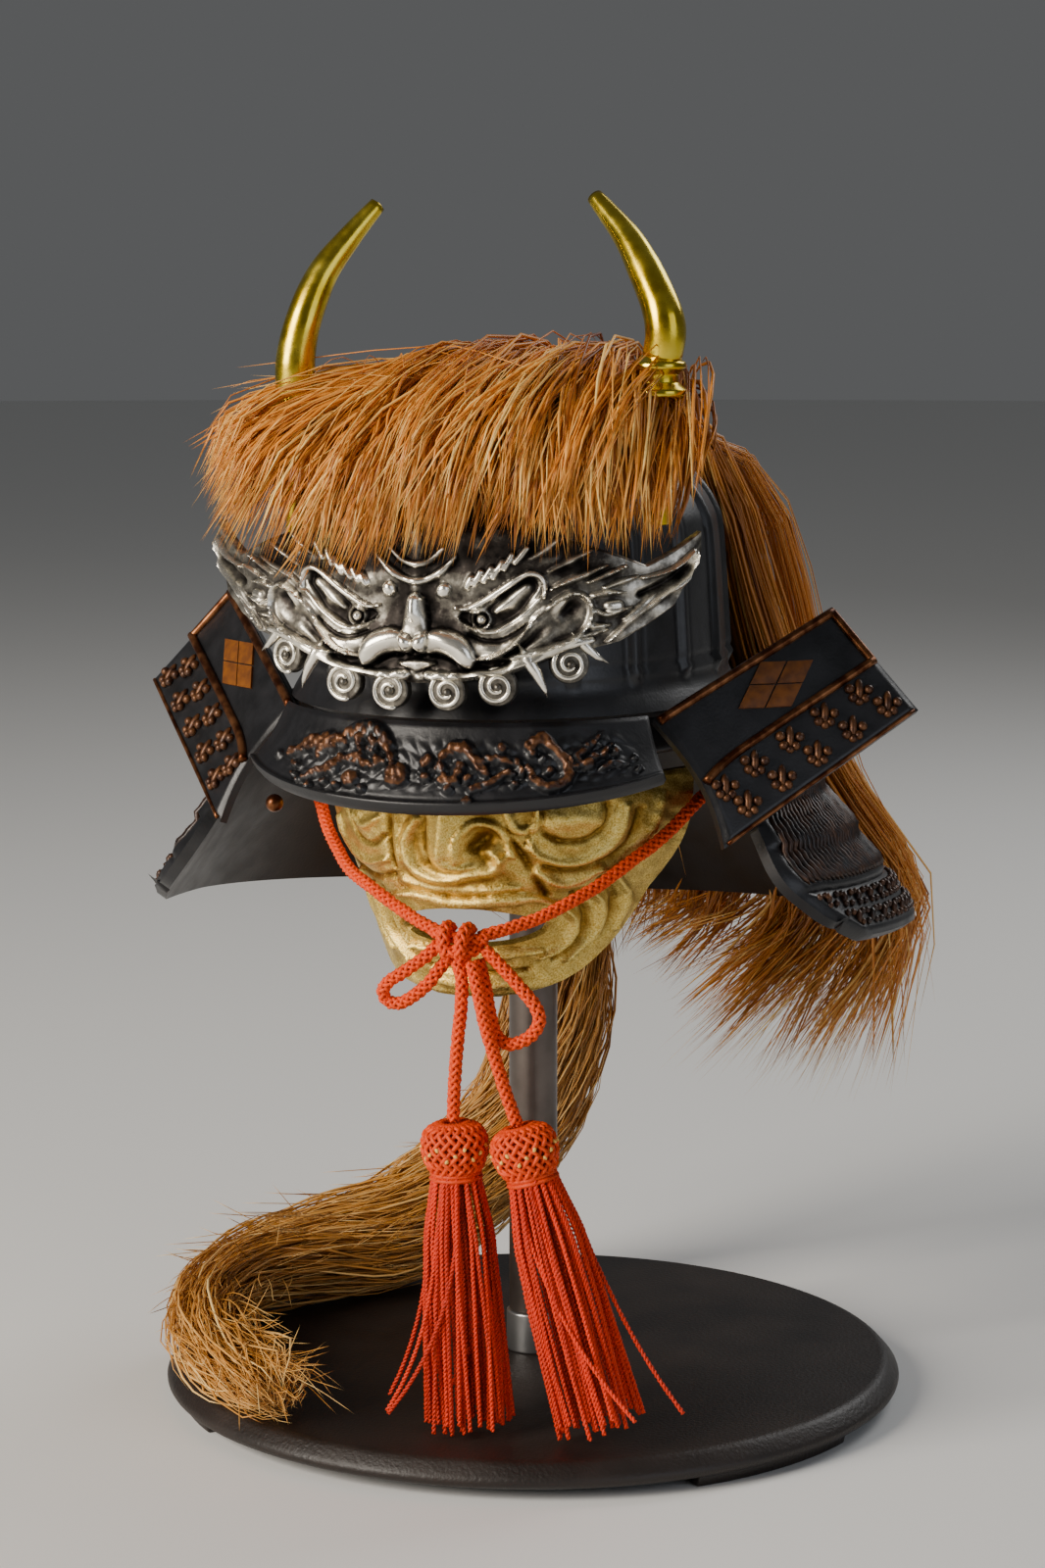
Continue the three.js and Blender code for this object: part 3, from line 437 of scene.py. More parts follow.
# Adds a stroke of relief to a height field: a line of (place across, place up) points, with its
# half width along it. round gives a bar, sharp a ridge, soft a swelling.
def stroke(height, across, up, points, widths, lift, shape="round"):
    line = smoothLine(points, 6 * len(points)) if len(points) > 2 else smoothLine(points, 6)
    wide = np.interp(np.linspace(0, 1, len(line)), np.linspace(0, 1, len(np.atleast_1d(widths))),
                     np.atleast_1d(widths)) if np.ndim(widths) else np.full(len(line), widths)
    reach = float(np.max(wide)) * (2.2 if shape == "soft" else 1.0)
    low, high = line.min(0) - reach, line.max(0) + reach
    near = np.where((across > low[0]) & (across < high[0]) & (up > low[1]) & (up < high[1]))[0]
    if not len(near):
        return
    x, z = across[near], up[near]
    best = np.full(len(near), 9.0)
    for (ax, az), (bx, bz), wa, wb in zip(line, line[1:], wide, wide[1:]):
        dx, dz = bx - ax, bz - az
        t = np.clip(((x - ax) * dx + (z - az) * dz) / max(dx * dx + dz * dz, 1e-9), 0, 1)
        away = np.hypot(x - ax - t * dx, z - az - t * dz) / np.maximum(mix(wa, wb, t), 0.05)
        best = np.minimum(best, away)
    if shape == "round":
        amount = np.sqrt(np.clip(1 - best ** 2, 0, 1))
    elif shape == "sharp":
        amount = np.clip(1 - best, 0, 1)
    elif shape == "flat":
        amount = np.clip((1 - best) * 4, 0, 1)
    else:
        amount = np.exp(-2 * best ** 2)
    height[near] += lift * amount


# How far each point of a grid stands out of its surroundings, from 0 to 1, for antique finishes.
def standingOut(height, columns, rows, spread, depth):
    field = np.asarray(height).reshape(rows + 1, columns + 1)
    blurred = field.copy()
    window = 2 * spread + 1
    for axis in (0, 1):
        for _ in range(3):
            before = np.repeat(np.take(blurred, [0], axis), spread + 1, axis)
            after = np.repeat(np.take(blurred, [-1], axis), spread, axis)
            total = np.cumsum(np.concatenate([before, blurred, after], axis), axis)
            n = blurred.shape[axis]
            upper = np.take(total, range(window, window + n), axis)
            blurred = (upper - np.take(total, range(n), axis)) / window
    return np.clip(0.5 + (field - blurred).ravel() / (2 * depth), 0, 1)


# A round lump of relief, or a hollow where lift is negative.
def lump(height, across, up, x, z, radius, lift):
    away = np.hypot(across - x, up - z) / radius
    height += lift * np.sqrt(np.clip(1 - away ** 2, 0, 1))


# A sheet with relief on its face, a rounded rim and a plain back that is thinned out. relief(points,
# u, v) gives heights in millimetres, and outward is 1 or -1. A named attribute takes what
# stands out of the face, or what shade(height, standing, u, v) makes of it. rimDrop is how far the
# face falls back at its rim.
def reliefSheet(name, surface, size, relief, outward, wall, material, attributeName="crest", spread=7,
                depth=1.2, shade=None, cutOut=None, rimDrop=0.45):
    columns, rows = size
    bm, uv = gridOn(surface, columns, rows)
    u, v = uv.T
    height = relief(surface(u, v), u, v)
    order = np.lexsort((u.round(5), v.round(5)))
    standing = np.empty(len(u))
    standing[order] = standingOut(height[order], columns, rows, spread, depth)
    if shade:
        standing = shade(height, standing, u, v)
    rim = smoothStep(0, 3, np.minimum.reduce([u * columns, (1 - u) * columns, v * rows, (1 - v) * rows]))
    height = height * rim - rimDrop * (1 - rim)
    layers = [bm.verts.layers.float.new(key) for key in ("across", "down", "rise", attributeName)]
    group = bm.verts.layers.deform.verify()
    for vert, row in zip(bm.verts, np.c_[u, v, height, standing]):
        for layer, value in zip(layers, row):
            vert[layer] = value
    if cutOut:
        cutOut(bm, layers)

    def settle(verts, back):
        table = np.array([[vert[layer] for layer in layers[:3]] for vert in verts])
        offset = np.full(len(table), -wall) if back else table[:, 2]
        for vert, point in zip(verts, standOff(surface, table[:, 0], table[:, 1], outward * offset) * mm):
            vert.co = point

    settle(bm.verts[:], False)
    made = bmesh.ops.extrude_face_region(bm, geom=bm.faces[:])["geom"]
    back = [v for v in made if isinstance(v, bmesh.types.BMVert)]
    settle(back, True)
    for vert in back:
        vert[group][0] = 1.0
    bmesh.ops.recalc_face_normals(bm, faces=bm.faces[:])
    sheet = fromBmesh(name, bm, material)
    sheet.vertex_groups.new(name="back")
    thin = sheet.modifiers.new("thinBack", "DECIMATE")
    thin.ratio, thin.vertex_group, thin.vertex_group_factor = 0.56, "back", 1000
    return settled(sheet)


# The same piece with its modifiers carried out.
def settled(piece):
    ready = piece.evaluated_get(bpy.context.evaluated_depsgraph_get())
    mesh = bpy.data.meshes.new_from_object(ready)
    piece.modifiers.clear()
    piece.vertex_groups.clear()
    piece.data = mesh
    mesh.set_sharp_from_angle(angle=math.radians(55))
    return piece


# A turned solid about the upright through (x, y). Its profile is (radius, z) from top to bottom,
# and each corner between is rounded by the given radius.
def turned(name, profile, material, x=0.0, y=0.0, steps=96, corner=0.5):
    points = [np.array(p, float) for p in profile]
    line = [points[0]]
    for before, here, after in zip(points, points[1:], points[2:]):
        back, on = before - here, after - here
        cut = [min(corner, 0.45 * np.linalg.norm(side)) * side / np.linalg.norm(side) for side in (back, on)]
        t = np.linspace(0, 1, 4)[:, None]
        line += list((1 - t) ** 2 * (here + cut[0]) + 2 * t * (1 - t) * here + t ** 2 * (here + cut[1]))
    line.append(points[-1])
    bm = bmesh.new()
    verts = [bm.verts.new(((x + r) * mm, y * mm, z * mm)) for r, z in line]
    edges = [bm.edges.new(pair) for pair in zip(verts, verts[1:])]
    bmesh.ops.spin(bm, geom=verts + edges, cent=(x * mm, y * mm, 0), axis=(0, 0, 1),
                   angle=2 * math.pi, steps=steps, use_merge=True)
    bmesh.ops.remove_doubles(bm, verts=bm.verts, dist=1e-7)
    bmesh.ops.recalc_face_normals(bm, faces=bm.faces[:])
    made = fromBmesh(name, bm, material)
    made.data.set_sharp_from_angle(angle=math.radians(50))
    return made


# A ball stretched to three half sizes and turned so that its z follows a direction.
def pellet(bm, place, halves, turn=None, detail=2):
    made = bmesh.ops.create_icosphere(bm, subdivisions=detail, radius=mm)["verts"]
    scale = Matrix.Diagonal((*halves, 1))
    setUp = Matrix.Translation(Vector(place) * mm) @ (turn or Matrix()) @ scale
    bmesh.ops.transform(bm, matrix=setUp, verts=made)
    return made


def flatAttribute(piece, name, value):
    setAttribute(piece.data, name, np.full(len(piece.data.vertices), value))
    return piece


view = {
    "azimuth": 18.5,      # degrees round from the front, to the right
    "distance": 0.880,    # from the stand's axis, level
    "height": 0.277,
    "pitch": 8.26,        # degrees down
    "turn": 0.17,         # degrees to the left of the axis
    "lens": 84.68,
    "keyPower": 26.0, "fillPower": 4.0, "rimPower": 5.0, "world": 0.13,
}


def areaLight(name, place, size, power, colour):
    data = bpy.data.lights.new(name, "AREA")
    data.shape = "RECTANGLE"
    data.size, data.size_y = size
    data.energy = power
    data.color = toLinear(colour)
    light = bpy.data.objects.new(name, data)
    light.location = place
    light.rotation_euler = (Vector((0, 0, 0.15)) - Vector(place)).to_track_quat("-Z", "Y").to_euler()
    scene.collection.objects.link(light)


def studio():
    data = bpy.data.cameras.new("camera")
    data.lens, data.sensor_width = view["lens"], 36
    data.clip_start, data.clip_end = 0.05, 30
    camera = bpy.data.objects.new("camera", data)
    turn = math.radians(view["azimuth"])
    camera.location = (view["distance"] * math.sin(turn), -view["distance"] * math.cos(turn), view["height"])
    camera.rotation_euler = (math.radians(90 - view["pitch"]), 0, turn + math.radians(view["turn"]))
    scene.collection.objects.link(camera)
    scene.camera = camera
    areaLight("key", (-0.72, -1.0, 0.6), (0.6, 0.7), view["keyPower"], "#fff6ea")
    areaLight("fill", (1.3, -0.7, 0.5), (0.9, 0.9), view["fillPower"], "#eaf1ff")
    areaLight("rim", (0.5, 0.9, 0.9), (0.6, 0.6), view["rimPower"], "#ffffff")
    world = bpy.data.worlds.new("room")
    world.use_nodes = True
    background = world.node_tree.nodes["Background"]
    background.inputs["Color"].default_value = paint("#e6e8ea")
    background.inputs["Strength"].default_value = view["world"]
    scene.world = world
    bm = bmesh.new()
    bmesh.ops.create_circle(bm, cap_ends=True, segments=64, radius=6)
    fromBmesh("floor", bm, card, smooth=False)
    print("camera, lights and floor are set")


cordRoutes = {      # millimetres, each from the knot outwards
    "chin": [(0.4, -66.2, 124.6), (-5, -63.8, 125.9), (-11, -60.2, 127.8), (-16, -57.8, 129.9),
             (-21, -54.9, 132), (-28.8, -48.2, 134.6), (-35.8, -39.2, 138.6), (-39.8, -33.6, 141.3),
             (-43.4, -28, 144.9), (-46.7, -21.6, 149.6), (-47, -4, 153.4), (-40, 14, 156),
             (-26, 30, 158), (-8, 38, 159), (10, 38, 159), (28, 29, 158), (41, 13, 156),
             (47.2, -5, 153.4), (46.6, -22.2, 149.6), (43.2, -28, 144.9), (39.8, -33.4, 141.2),
             (36.6, -38.2, 138.5), (31.2, -44.8, 133.8), (25.9, -51.2, 130.4), (19.3, -57.8, 127),
             (9.7, -66.4, 124.2)],
    "leftBow": [(0.3, -68.6, 122.2), (-2.2, -69.4, 119.6), (-7, -69.8, 116), (-10.5, -69.6, 113.7),
                (-12.8, -68.6, 111.2), (-12.6, -67.4, 108.6), (-9.7, -67.6, 107.9), (-5.6, -68.4, 110.1),
                (-1.7, -68.8, 113.5), (0.6, -67.8, 116.8), (2.4, -66.8, 119.2)],
    "rightBow": [(11.4, -68, 121.6), (16.3, -69, 117.5), (20.4, -69.3, 113.5), (23.5, -69, 109.8),
                 (24.4, -68.6, 106.5), (22.7, -68.3, 103.2), (19.4, -68.2, 101), (16.2, -68.2, 100.6),
                 (13.8, -68.4, 103.1), (12.6, -68.6, 107.8), (11.6, -68.4, 112.9), (9.6, -67.2, 119)],
    "leftEnd": [(5.6, -70.6, 119.2), (7, -71.4, 115.1), (6.7, -71, 108.8), (5.3, -69.6, 100),
                (4, -68, 90.1), (3.4, -67.2, 81.8)],
    "rightEnd": [(9.4, -71.6, 119.4), (11.5, -72.8, 112.3), (13.1, -72.6, 104.9), (15.1, -70.8, 96.2),
                 (16.9, -68.8, 88.3), (18.6, -67.2, 82.1)],
}
braid = {
    "diameter": 3.0,
    "strand": 0.5,      # radius of one bundle of yarn
    "orbit": 0.99,       # how far the bundles run from the cord's middle
    "wave": 0.2,          # how far they rise and dip as they cross
    "turn": 7.6,          # length of one turn
    "step": 0.42,
}


# The bundles of a round braid of eight: four wind one way and four the other, over and under.
def braidStrands(line, shade=0.0, rng=random.Random(5)):
    across, up = sideways(line)
    gone = np.concatenate([[0], np.cumsum(np.linalg.norm(np.diff(line, axis=0), axis=1))])
    turn = 2 * math.pi * gone / braid["turn"]
    strands = []
    for way in (1, -1):
        for i in range(4):
            angle = way * turn + i * math.pi / 2
            out = braid["orbit"] + way * braid["wave"] * np.cos(4 * turn)
            points = line + across * (out * np.cos(angle))[:, None] + up * (out * np.sin(angle))[:, None]
            # Painted shade: a bundle is darker where it dips under the others and lighter where it rides over them.
            tone = 0.62 + shade + 0.32 * way * np.cos(4 * turn) + rng.uniform(-0.05, 0.05)
            strands.append((points, braid["strand"], tone))
    # A dark core inside the bundles: painted shade seen through the gaps between them.
    strands.append((line[::2], 0.8, 0.1))
    return strands


def braided(name, routes, material, shade=0.0):
    strands = []
    for route in routes:
        steps = int(lineLength(smoothLine(route, 80)) / braid["step"])
        strands += braidStrands(smoothLine(route, steps), shade)
    return tubes(name, strands, material, blunt=True)


def makeCords():
    knotRuns = [
        [(-1.5, -66.4, 124.7), (2, -68.5, 124.6), (5, -69.3, 124.1), (8, -68.7, 123.7), (11.4, -66.8, 123.7)],
        [(2.6, -65.8, 125.6), (2.5, -68.8, 126.5), (2.6, -71.2, 124.9), (2.9, -71.4, 122), (3.4, -69.6, 119.9),
         (4.2, -67.2, 119.4)],
        [(7.3, -65.6, 125.4), (7.2, -68.6, 126.3), (7, -71.3, 124.6), (6.8, -71.9, 121.9),
         (6.6, -70.6, 119.8), (6.9, -68, 118.8)],
        [(9.8, -66.6, 122.4), (8.6, -69.6, 121.4), (5.4, -71.2, 121.3), (2.2, -70, 121.8), (0.2, -67, 122.6)],
    ]
    knot = dress(braided("bowKnotBraid", knotRuns, braidSilk, -0.04), "bow_knot")
    tassels = {side: makeTassel(side) for side in ("left", "right")}
    ends = {"chin": ("chinCordBraid", "chin_cord_loop", knot, "knot"),
            "leftBow": ("leftBowBraid", "bow_loop_left", knot, "knot"),
            "rightBow": ("rightBowBraid", "bow_loop_right", knot, "knot"),
            "leftEnd": ("leftEndBraid", "cord_end_left", tassels["left"], "fitting"),
            "rightEnd": ("rightEndBraid", "cord_end_right", tassels["right"], "fitting")}
    for key, (name, solid, held, farEnd) in ends.items():
        piece = dress(braided(name, [cordRoutes[key]], braidSilk), solid)
    print("cords, knot and tassels are made")


tassel = {
    "left": {"top": (3.4, -67, 81), "foot": (6.6, -66, 11.5), "strays": 4},
    "right": {"top": (19, -67, 81.2), "foot": (38, -66, 14), "strays": 2},
    "headHeight": 11.4, "headRows": [(0, 2.8), (0.5, 5), (2, 6.8), (5, 7.5), (8.2, 6.9), (11.4, 5.3)],
    "skirtRadii": [5.2, 8.0, 8.9, 9.3, 9.6],
    "strands": 62, "ply": 0.32, "plyTurn": 2.5, "step": 0.56, "plyOut": 0.29,
}


def makeTassel(side):
    rng = random.Random(11 if side == "left" else 12)
    top, foot = (np.array(tassel[side][key], float) for key in ("top", "foot"))
    down = (foot - top) / np.linalg.norm(foot - top)
    first = np.cross(down, [0, 1, 0])
    first /= np.linalg.norm(first)
    second = np.cross(down, first)
    rows = np.array(tassel["headRows"])

    def around(height, radius, angle):
        return (top + np.multiply.outer(height, down) + np.multiply.outer(radius * np.cos(angle), first)
                + np.multiply.outer(radius * np.sin(angle), second))

    head, gold, skirt = [], [], []
    heights = smoothLine(rows, 26)
    for way in (1, -1):       # the knitted cover, wound both ways
        for i in range(19):
            turn = np.linspace(0, 1, 26)
            angle = 2 * math.pi * (i / 19 + way * 0.3 * turn)
            out = heights[:, 1] - 0.25 + way * 0.26 * np.cos(turn * 2 * math.pi * 4.5)
            # Painted shade: each winding is darker where it dips under the others and lighter where it rides over
            # them.
            head.append((around(heights[:, 0], out, angle), 0.55, 0.6 + 0.25 * way * np.cos(turn * 28)))
    for height, radius, thick in ((0.3, 3.6, 0.9), (11.3, 5.3, 0.7), (12.3, 5.6, 0.6)):
        angle = np.linspace(0, 2 * math.pi, 30)
        head.append((around(np.full(30, height), radius + 0.12 * np.cos(angle * 9), angle), thick, 0.55))
    # A dark core inside the cover, its tone 0.1: painted shade seen through the gaps in the windings.
    solid = np.linspace(0.4, 11.5, 12)
    core = np.interp(solid, rows[:, 0], rows[:, 1]) - 0.7
    head.append((around(solid, np.zeros(12), np.zeros(12)), core, 0.1))
    for i in range(22):       # gold thread let into the cover
        angle = 2 * math.pi * i / 22 + np.linspace(0, 0.13, 4)
        height = 4.6 + 1.3 * (i % 3) + np.linspace(-0.6, 0.6, 4) * (1 if i % 2 else -1)
        out = np.interp(height, rows[:, 0], rows[:, 1]) + 0.25
        gold.append((around(height, out, angle), (0.28, 0.5, 0.5, 0.28), 0.7))
    length = np.linalg.norm(foot - top)
    for i in range(tassel["strands"] + tassel[side]["strays"]):
        stray = i >= tassel["strands"]
        inner = i % 4 == 3 and not stray
        angle = 2 * math.pi * i * 0.6180339 + rng.uniform(-0.1, 0.1)
        share = rng.uniform(0.25, 0.6) if inner else rng.uniform(0.9, 1.02)
        end = length + rng.uniform(-2.5, 1.2)
        t = np.linspace(0, 1, 9)
        height = mix(tassel["headHeight"] - 0.6, end, t)
        radius = np.interp(t, np.linspace(0, 1, 5), tassel["skirtRadii"]) * share
        sway = rng.uniform(-0.35, 0.35)
        guide = around(height, radius, angle + sway * t)
        guide += np.outer(t ** 2, [rng.gauss(0, 0.9), rng.gauss(0, 0.7), 0])
        if stray:
            pull = rng.uniform(0.6, 1.2) * (-1 if side == "left" else 1)
            guide += np.outer(t ** 2.5, [pull * 13, -3, 3.5 * abs(pull)])
        guide[:, 2] = np.maximum(guide[:, 2], 10.1)
        strand = smoothLine(guide, int(length / tassel["step"]))
        across, up = sideways(strand)
        turn = 2 * math.pi * np.arange(len(strand)) * tassel["step"] / tassel["plyTurn"] + rng.uniform(0, 6)
        # Painted shade: the inner strands, set nearer the middle of the skirt, are darker.
        tone = rng.uniform(0.3, 0.85) - (0.3 if inner else 0)
        for half in (0, math.pi):
            out = tassel["plyOut"] * np.array([np.cos(turn + half), np.sin(turn + half)])
            ply = strand + across * out[0][:, None] + up * out[1][:, None]
            skirt.append((ply, tassel["ply"], tone))
    cover = [tubes(side + "TasselCover", head, braidSilk, blunt=True),
             tubes(side + "TasselGold", gold, goldThread)]
    cover = join(side + "TasselHead", cover)
    dress(tubes(side + "TasselSkirt", skirt, tasselSilk, blunt=True), "tassel_" + side)
    return dress(cover)


stand = {       # millimetres
    "bracket": {"size": (8, 50.9, 3), "middle": (0, -31.65, 153)},
    "pin": {"radius": 3, "length": 7.65, "middle": (0, -73.425, 200)},
}


def makeStand():
    disc = turned("standDisc", [(0, 9), (86.5, 9), (90, 5.2), (89.4, 3.4), (87, 2.5), (15, 2.5), (15, 0), (0, 0)],
                  enamel, steps=160, corner=1.4)
    pieces = [disc]
    for angle in (-150, -30, 90):
        bm = bmesh.new()
        turn = math.radians(angle - 16)
        corners = [(63, 2.6), (87, 2.6), (86.4, 0), (63.6, 0)]
        face = bm.faces.new([bm.verts.new((r * mm * math.cos(turn), r * mm * math.sin(turn), z * mm))
                             for r, z in corners])
        bmesh.ops.spin(bm, geom=[face, *face.edges, *face.verts], cent=(0, 0, 0), axis=(0, 0, 1),
                       angle=math.radians(32), steps=14)
        bmesh.ops.recalc_face_normals(bm, faces=bm.faces[:])
        sharp = [e for e in bm.edges if e.is_manifold and e.calc_face_angle() > 0.7]
        bmesh.ops.bevel(bm, geom=sharp, offset=0.4 * mm, affect="EDGES", segments=2, profile=0.5, material=-1)
        pieces.append(fromBmesh("standFoot", bm, enamel))
    dress(join("stand", pieces), "stand_base")
    dress(turned("ferrule", [(0, 19), (6.5, 19), (6.5, 9), (0, 9)], bareSteel, corner=0.6), "post_ferrule")
    post = turned("postRod", [(0, 229.2), (5.85, 229.2), (5.85, 19), (0, 19)], darkSteel, corner=0.5)
    rest = turned("postRest", [(0, 233.05), (11, 233.05), (11, 231.5), (5, 231.5), (4, 229.1), (0, 229.1)],
                  darkSteel, corner=0.4)
    dress(join("post", [post, rest]), "stand_post")

    bm = bmesh.new()
    bmesh.ops.create_cube(bm, size=1, matrix=Matrix.Translation(Vector(stand["bracket"]["middle"]) * mm)
                          @ Matrix.Diagonal((*(Vector(stand["bracket"]["size"]) * mm), 1)))
    bmesh.ops.bevel(bm, geom=bm.edges[:], offset=0.4 * mm, affect="EDGES", segments=2, profile=0.5, material=-1)
    dress(fromBmesh("maskBracket", bm, darkSteel), "mask_bracket")
    bm = bmesh.new()
    pin = stand["pin"]
    bmesh.ops.create_cone(bm, cap_ends=True, segments=40, radius1=pin["radius"] * mm,
                          radius2=pin["radius"] * mm, depth=pin["length"] * mm,
                          matrix=Matrix.Translation(Vector(pin["middle"]) * mm)
                          @ Matrix.Rotation(math.pi / 2, 4, "X"))
    rims = [e for e in bm.edges if any(len(f.verts) > 4 for f in e.link_faces)]
    bmesh.ops.bevel(bm, geom=rims, offset=0.3 * mm, affect="EDGES", segments=2, profile=0.5, material=-1)
    dress(fromBmesh("crestPin", bm, darkSteel), "crest_pin")
    print("stand is made")


bowlShape = {"a": 49, "b": 57.5, "y": -12, "ribs": 20, "steps": 400}
guardShape = {"a": 52, "b": 60, "y": -10, "top": 171.65, "rimA": 89.5, "rimFront": 109, "rimRear": 73,
              "rimY": 5, "cornerZ": 121.3, "rearZ": 111, "fold": 57, "corner": 70.8, "wall": 3,
              "lames": 5, "step": 1.1, "columns": 330, "rows": 90,
              "laces": 172, "lacePoints": 30, "flowers": 56}
bowlOutside = [(0.94, 163), (0.965, 164), (0.965, 172), (1.0, 172.6), (1.055, 173), (1.06, 174), (1.035, 176.6),
               (1.008, 179), (1.0, 181.5), (0.985, 192), (0.955, 212), (0.92, 218), (0.86, 222.6), (0.76, 227.4),
               (0.64, 231), (0.48, 234), (0.34, 235.5), (0.16, 236.7), (0, 237)]
bowlInside = [(0.915, 163), (0.915, 203), (0.88, 213), (0.83, 218.5), (0.64, 228), (0.42, 233.4), (0, 234.6)]


def bowlPoint(angle, share, z):
    turn = np.radians(angle)
    return np.stack(np.broadcast_arrays(bowlShape["a"] * share * np.sin(turn),
                                        bowlShape["y"] - bowlShape["b"] * share * np.cos(turn), z), -1)


def guardPoint(angle, v):
    turn = np.radians(angle)
    fromFront = np.abs((np.asarray(angle, float) % 360 + 540) % 360 - 180)
    toRear = np.clip((fromFront - guardShape["corner"]) / (180 - guardShape["corner"]), 0, 1)
    rimZ = mix(guardShape["cornerZ"], guardShape["rearZ"], toRear ** 0.7)
    a = mix(guardShape["a"], guardShape["rimA"], v)
    b = mix(guardShape["b"], np.where(np.cos(turn) > 0, guardShape["rimFront"], guardShape["rimRear"]), v)
    return np.stack(np.broadcast_arrays(a * np.sin(turn),
                                        mix(guardShape["y"], guardShape["rimY"], v) - b * np.cos(turn),
                                        mix(guardShape["top"], rimZ, v)), -1)


def makeBowl():
    outside = smoothLine(bowlOutside, 60)
    profile = np.vstack([outside[::-1], smoothLine(bowlInside, 20)])
    profile[:, 0] = np.clip(profile[:, 0], 0, None)
    bm = bmesh.new()
    verts = [bm.verts.new((share, 0, z * 0.01)) for share, z in profile]
    edges = [bm.edges.new(pair) for pair in zip(verts, verts[1:])]
    bmesh.ops.spin(bm, geom=verts + edges, cent=(0, 0, 0), axis=(0, 0, 1), angle=2 * math.pi,
                   steps=bowlShape["steps"], use_merge=True)
    bmesh.ops.remove_doubles(bm, verts=bm.verts, dist=1e-5)
    co = np.array([v.co for v in bm.verts])
    share, z = np.hypot(co[:, 0], co[:, 1]), co[:, 2] * 100
    angle = np.degrees(np.arctan2(co[:, 0], -co[:, 1]))
    outer = np.interp(z, *np.array(bowlOutside)[:, ::-1].T) - share < 0.02
    pitch = 360 / bowlShape["ribs"]
    off = np.abs((angle + pitch / 2) % pitch - pitch / 2) * share
    rib = 1.15 * smoothStep(1.9, 1.3, off) - 0.4 * np.exp(-((off - 2.5) / 0.45) ** 2)
    ends = smoothStep(179.5, 183, z) * smoothStep(0.3, 0.42, share)
    collar = 0.5 * np.exp(-((z - 182.4) / 0.7) ** 2) - 0.3 * np.exp(-((z - 184) / 0.6) ** 2)
    rise = outer * (rib * ends + collar)
    points = bowlPoint(angle, share, z)
    outwards = points - [0, bowlShape["y"], 200]
    outwards[:, 2] *= smoothStep(218, 232, z)
    outwards /= np.linalg.norm(outwards, axis=1)[:, None] + 1e-9
    for vert, point in zip(bm.verts, (points + outwards * rise[:, None]) * mm):
        vert.co = point
    bmesh.ops.recalc_face_normals(bm, faces=bm.faces[:])
    bowl = fromBmesh("bowlShell", bm, plainLacquer)
    bowl.data.set_sharp_from_angle(angle=math.radians(60))
    return dress(bowl, "bowl")


visorStrokes = [    # (along, down) points, half widths, height
    ([(20, 10.5), (24, 8), (30.8, 5.2), (38, 5.5)], (1, 1.7, 2, 1.2), 1.5),
    ([(36, 4.6), (39, 3.2), (43.8, 2.2), (49, 3.6), (52, 6.2), (53, 8)], (1.3, 1.9, 2, 2, 1.7, 1), 1.6),
    ([(39, 8.6), (43, 8.2), (47, 9), (51, 8.2)], (1, 1.4, 1.3, 1), 1.5),
    ([(38, 8.8), (34, 12), (30, 14.6), (27.5, 16.6)], (1.5, 1.5, 1.4, 0.9), 1.5),
    ([(65, 6.4), (67.6, 5), (70.4, 5), (73.5, 7.5), (76, 10.4)], (1.1, 1.7, 1.9, 1.5, 1), 1.6),
    ([(73, 14.2), (77, 12.4), (80.5, 10)], (1.3, 1.2, 1), 1.5),
    ([(75.6, 7), (80, 7.2), (83, 8.3), (84, 10.6)], (1, 1.3, 1.3, 0.9), 1.3),
    ([(85.3, 9), (87, 12.7), (90.4, 14.8), (93.8, 13.4), (94.6, 9.4), (91.8, 5.5), (89, 3.2), (85.7, 4.4)],
     (0.8, 1.3, 1.6, 1.6, 1.5, 1.4, 1.6, 1.2), 1.8),
    ([(96, 8.2), (101, 5), (104.6, 2.6)], (1.2, 1.2, 0.3), 1.3),
    ([(97, 9.8), (102, 7.8), (107, 5.2)], (1.1, 1.2, 0.3), 1.2),
    ([(103, 11.2), (106, 10.4), (109.5, 11.4)], (0.9, 1.3, 0.6), 1.1),
]
visorLumps = [      # along, down, radius, height
    (27, 6.6, 2.2, 1.4), (31, 7.4, 2.6, 1.7), (34.4, 6.2, 2, 1.5), (42.5, 4.8, 1.7, 1.7), (46.6, 5.4, 1.8, 1.8),
    (49, 7.2, 1.3, 1.4), (43.6, 6.8, 1.3, 1.3), (24, 12.4, 1.6, 1.4), (25.4, 15.2, 1.4, 1.5), (20.6, 9, 1.3, 1.2),
    (14, 11.6, 1.8, 1.1), (31.4, 16.6, 1.3, 1.5), (35.6, 14.8, 1.4, 1.5), (39.6, 15.2, 1.2, 1.5),
    (43, 13, 2.6, 2.1), (46.6, 15, 1.4, 1.5), (37, 11.4, 1.8, 1.3), (54.7, 11, 3.2, 2.3), (61.4, 7.4, 1.7, 1.7),
    (60.6, 9.6, 1.1, 1.1), (61.8, 11.2, 1.3, 1.5), (65, 8.6, 1.6, 1.6), (66.2, 11.4, 1.7, 1.6), (69.4, 9, 1.8, 1.6),
    (68.6, 11.8, 1.5, 1.6), (67.4, 14, 1.4, 1.4), (71.6, 11.4, 1.4, 1.4), (72, 17, 1.3, 1.8), (79.4, 4.8, 1.3, 1.7),
    (81.6, 10.4, 1.2, 1.3), (82.4, 13, 1.2, 1.4), (86.8, 5.8, 1.3, 1.2), (90.4, 10.2, 1.4, 1.2),
    (89, 7.4, 1, 0.9), (99.6, 9.8, 1.6, 1.3), (107, 7.4, 1.3, 1.2), (112, 9.6, 1, 1), (112.4, 13.4, 1.1, 1.1),
    (104, 7.8, 1, 1),
]


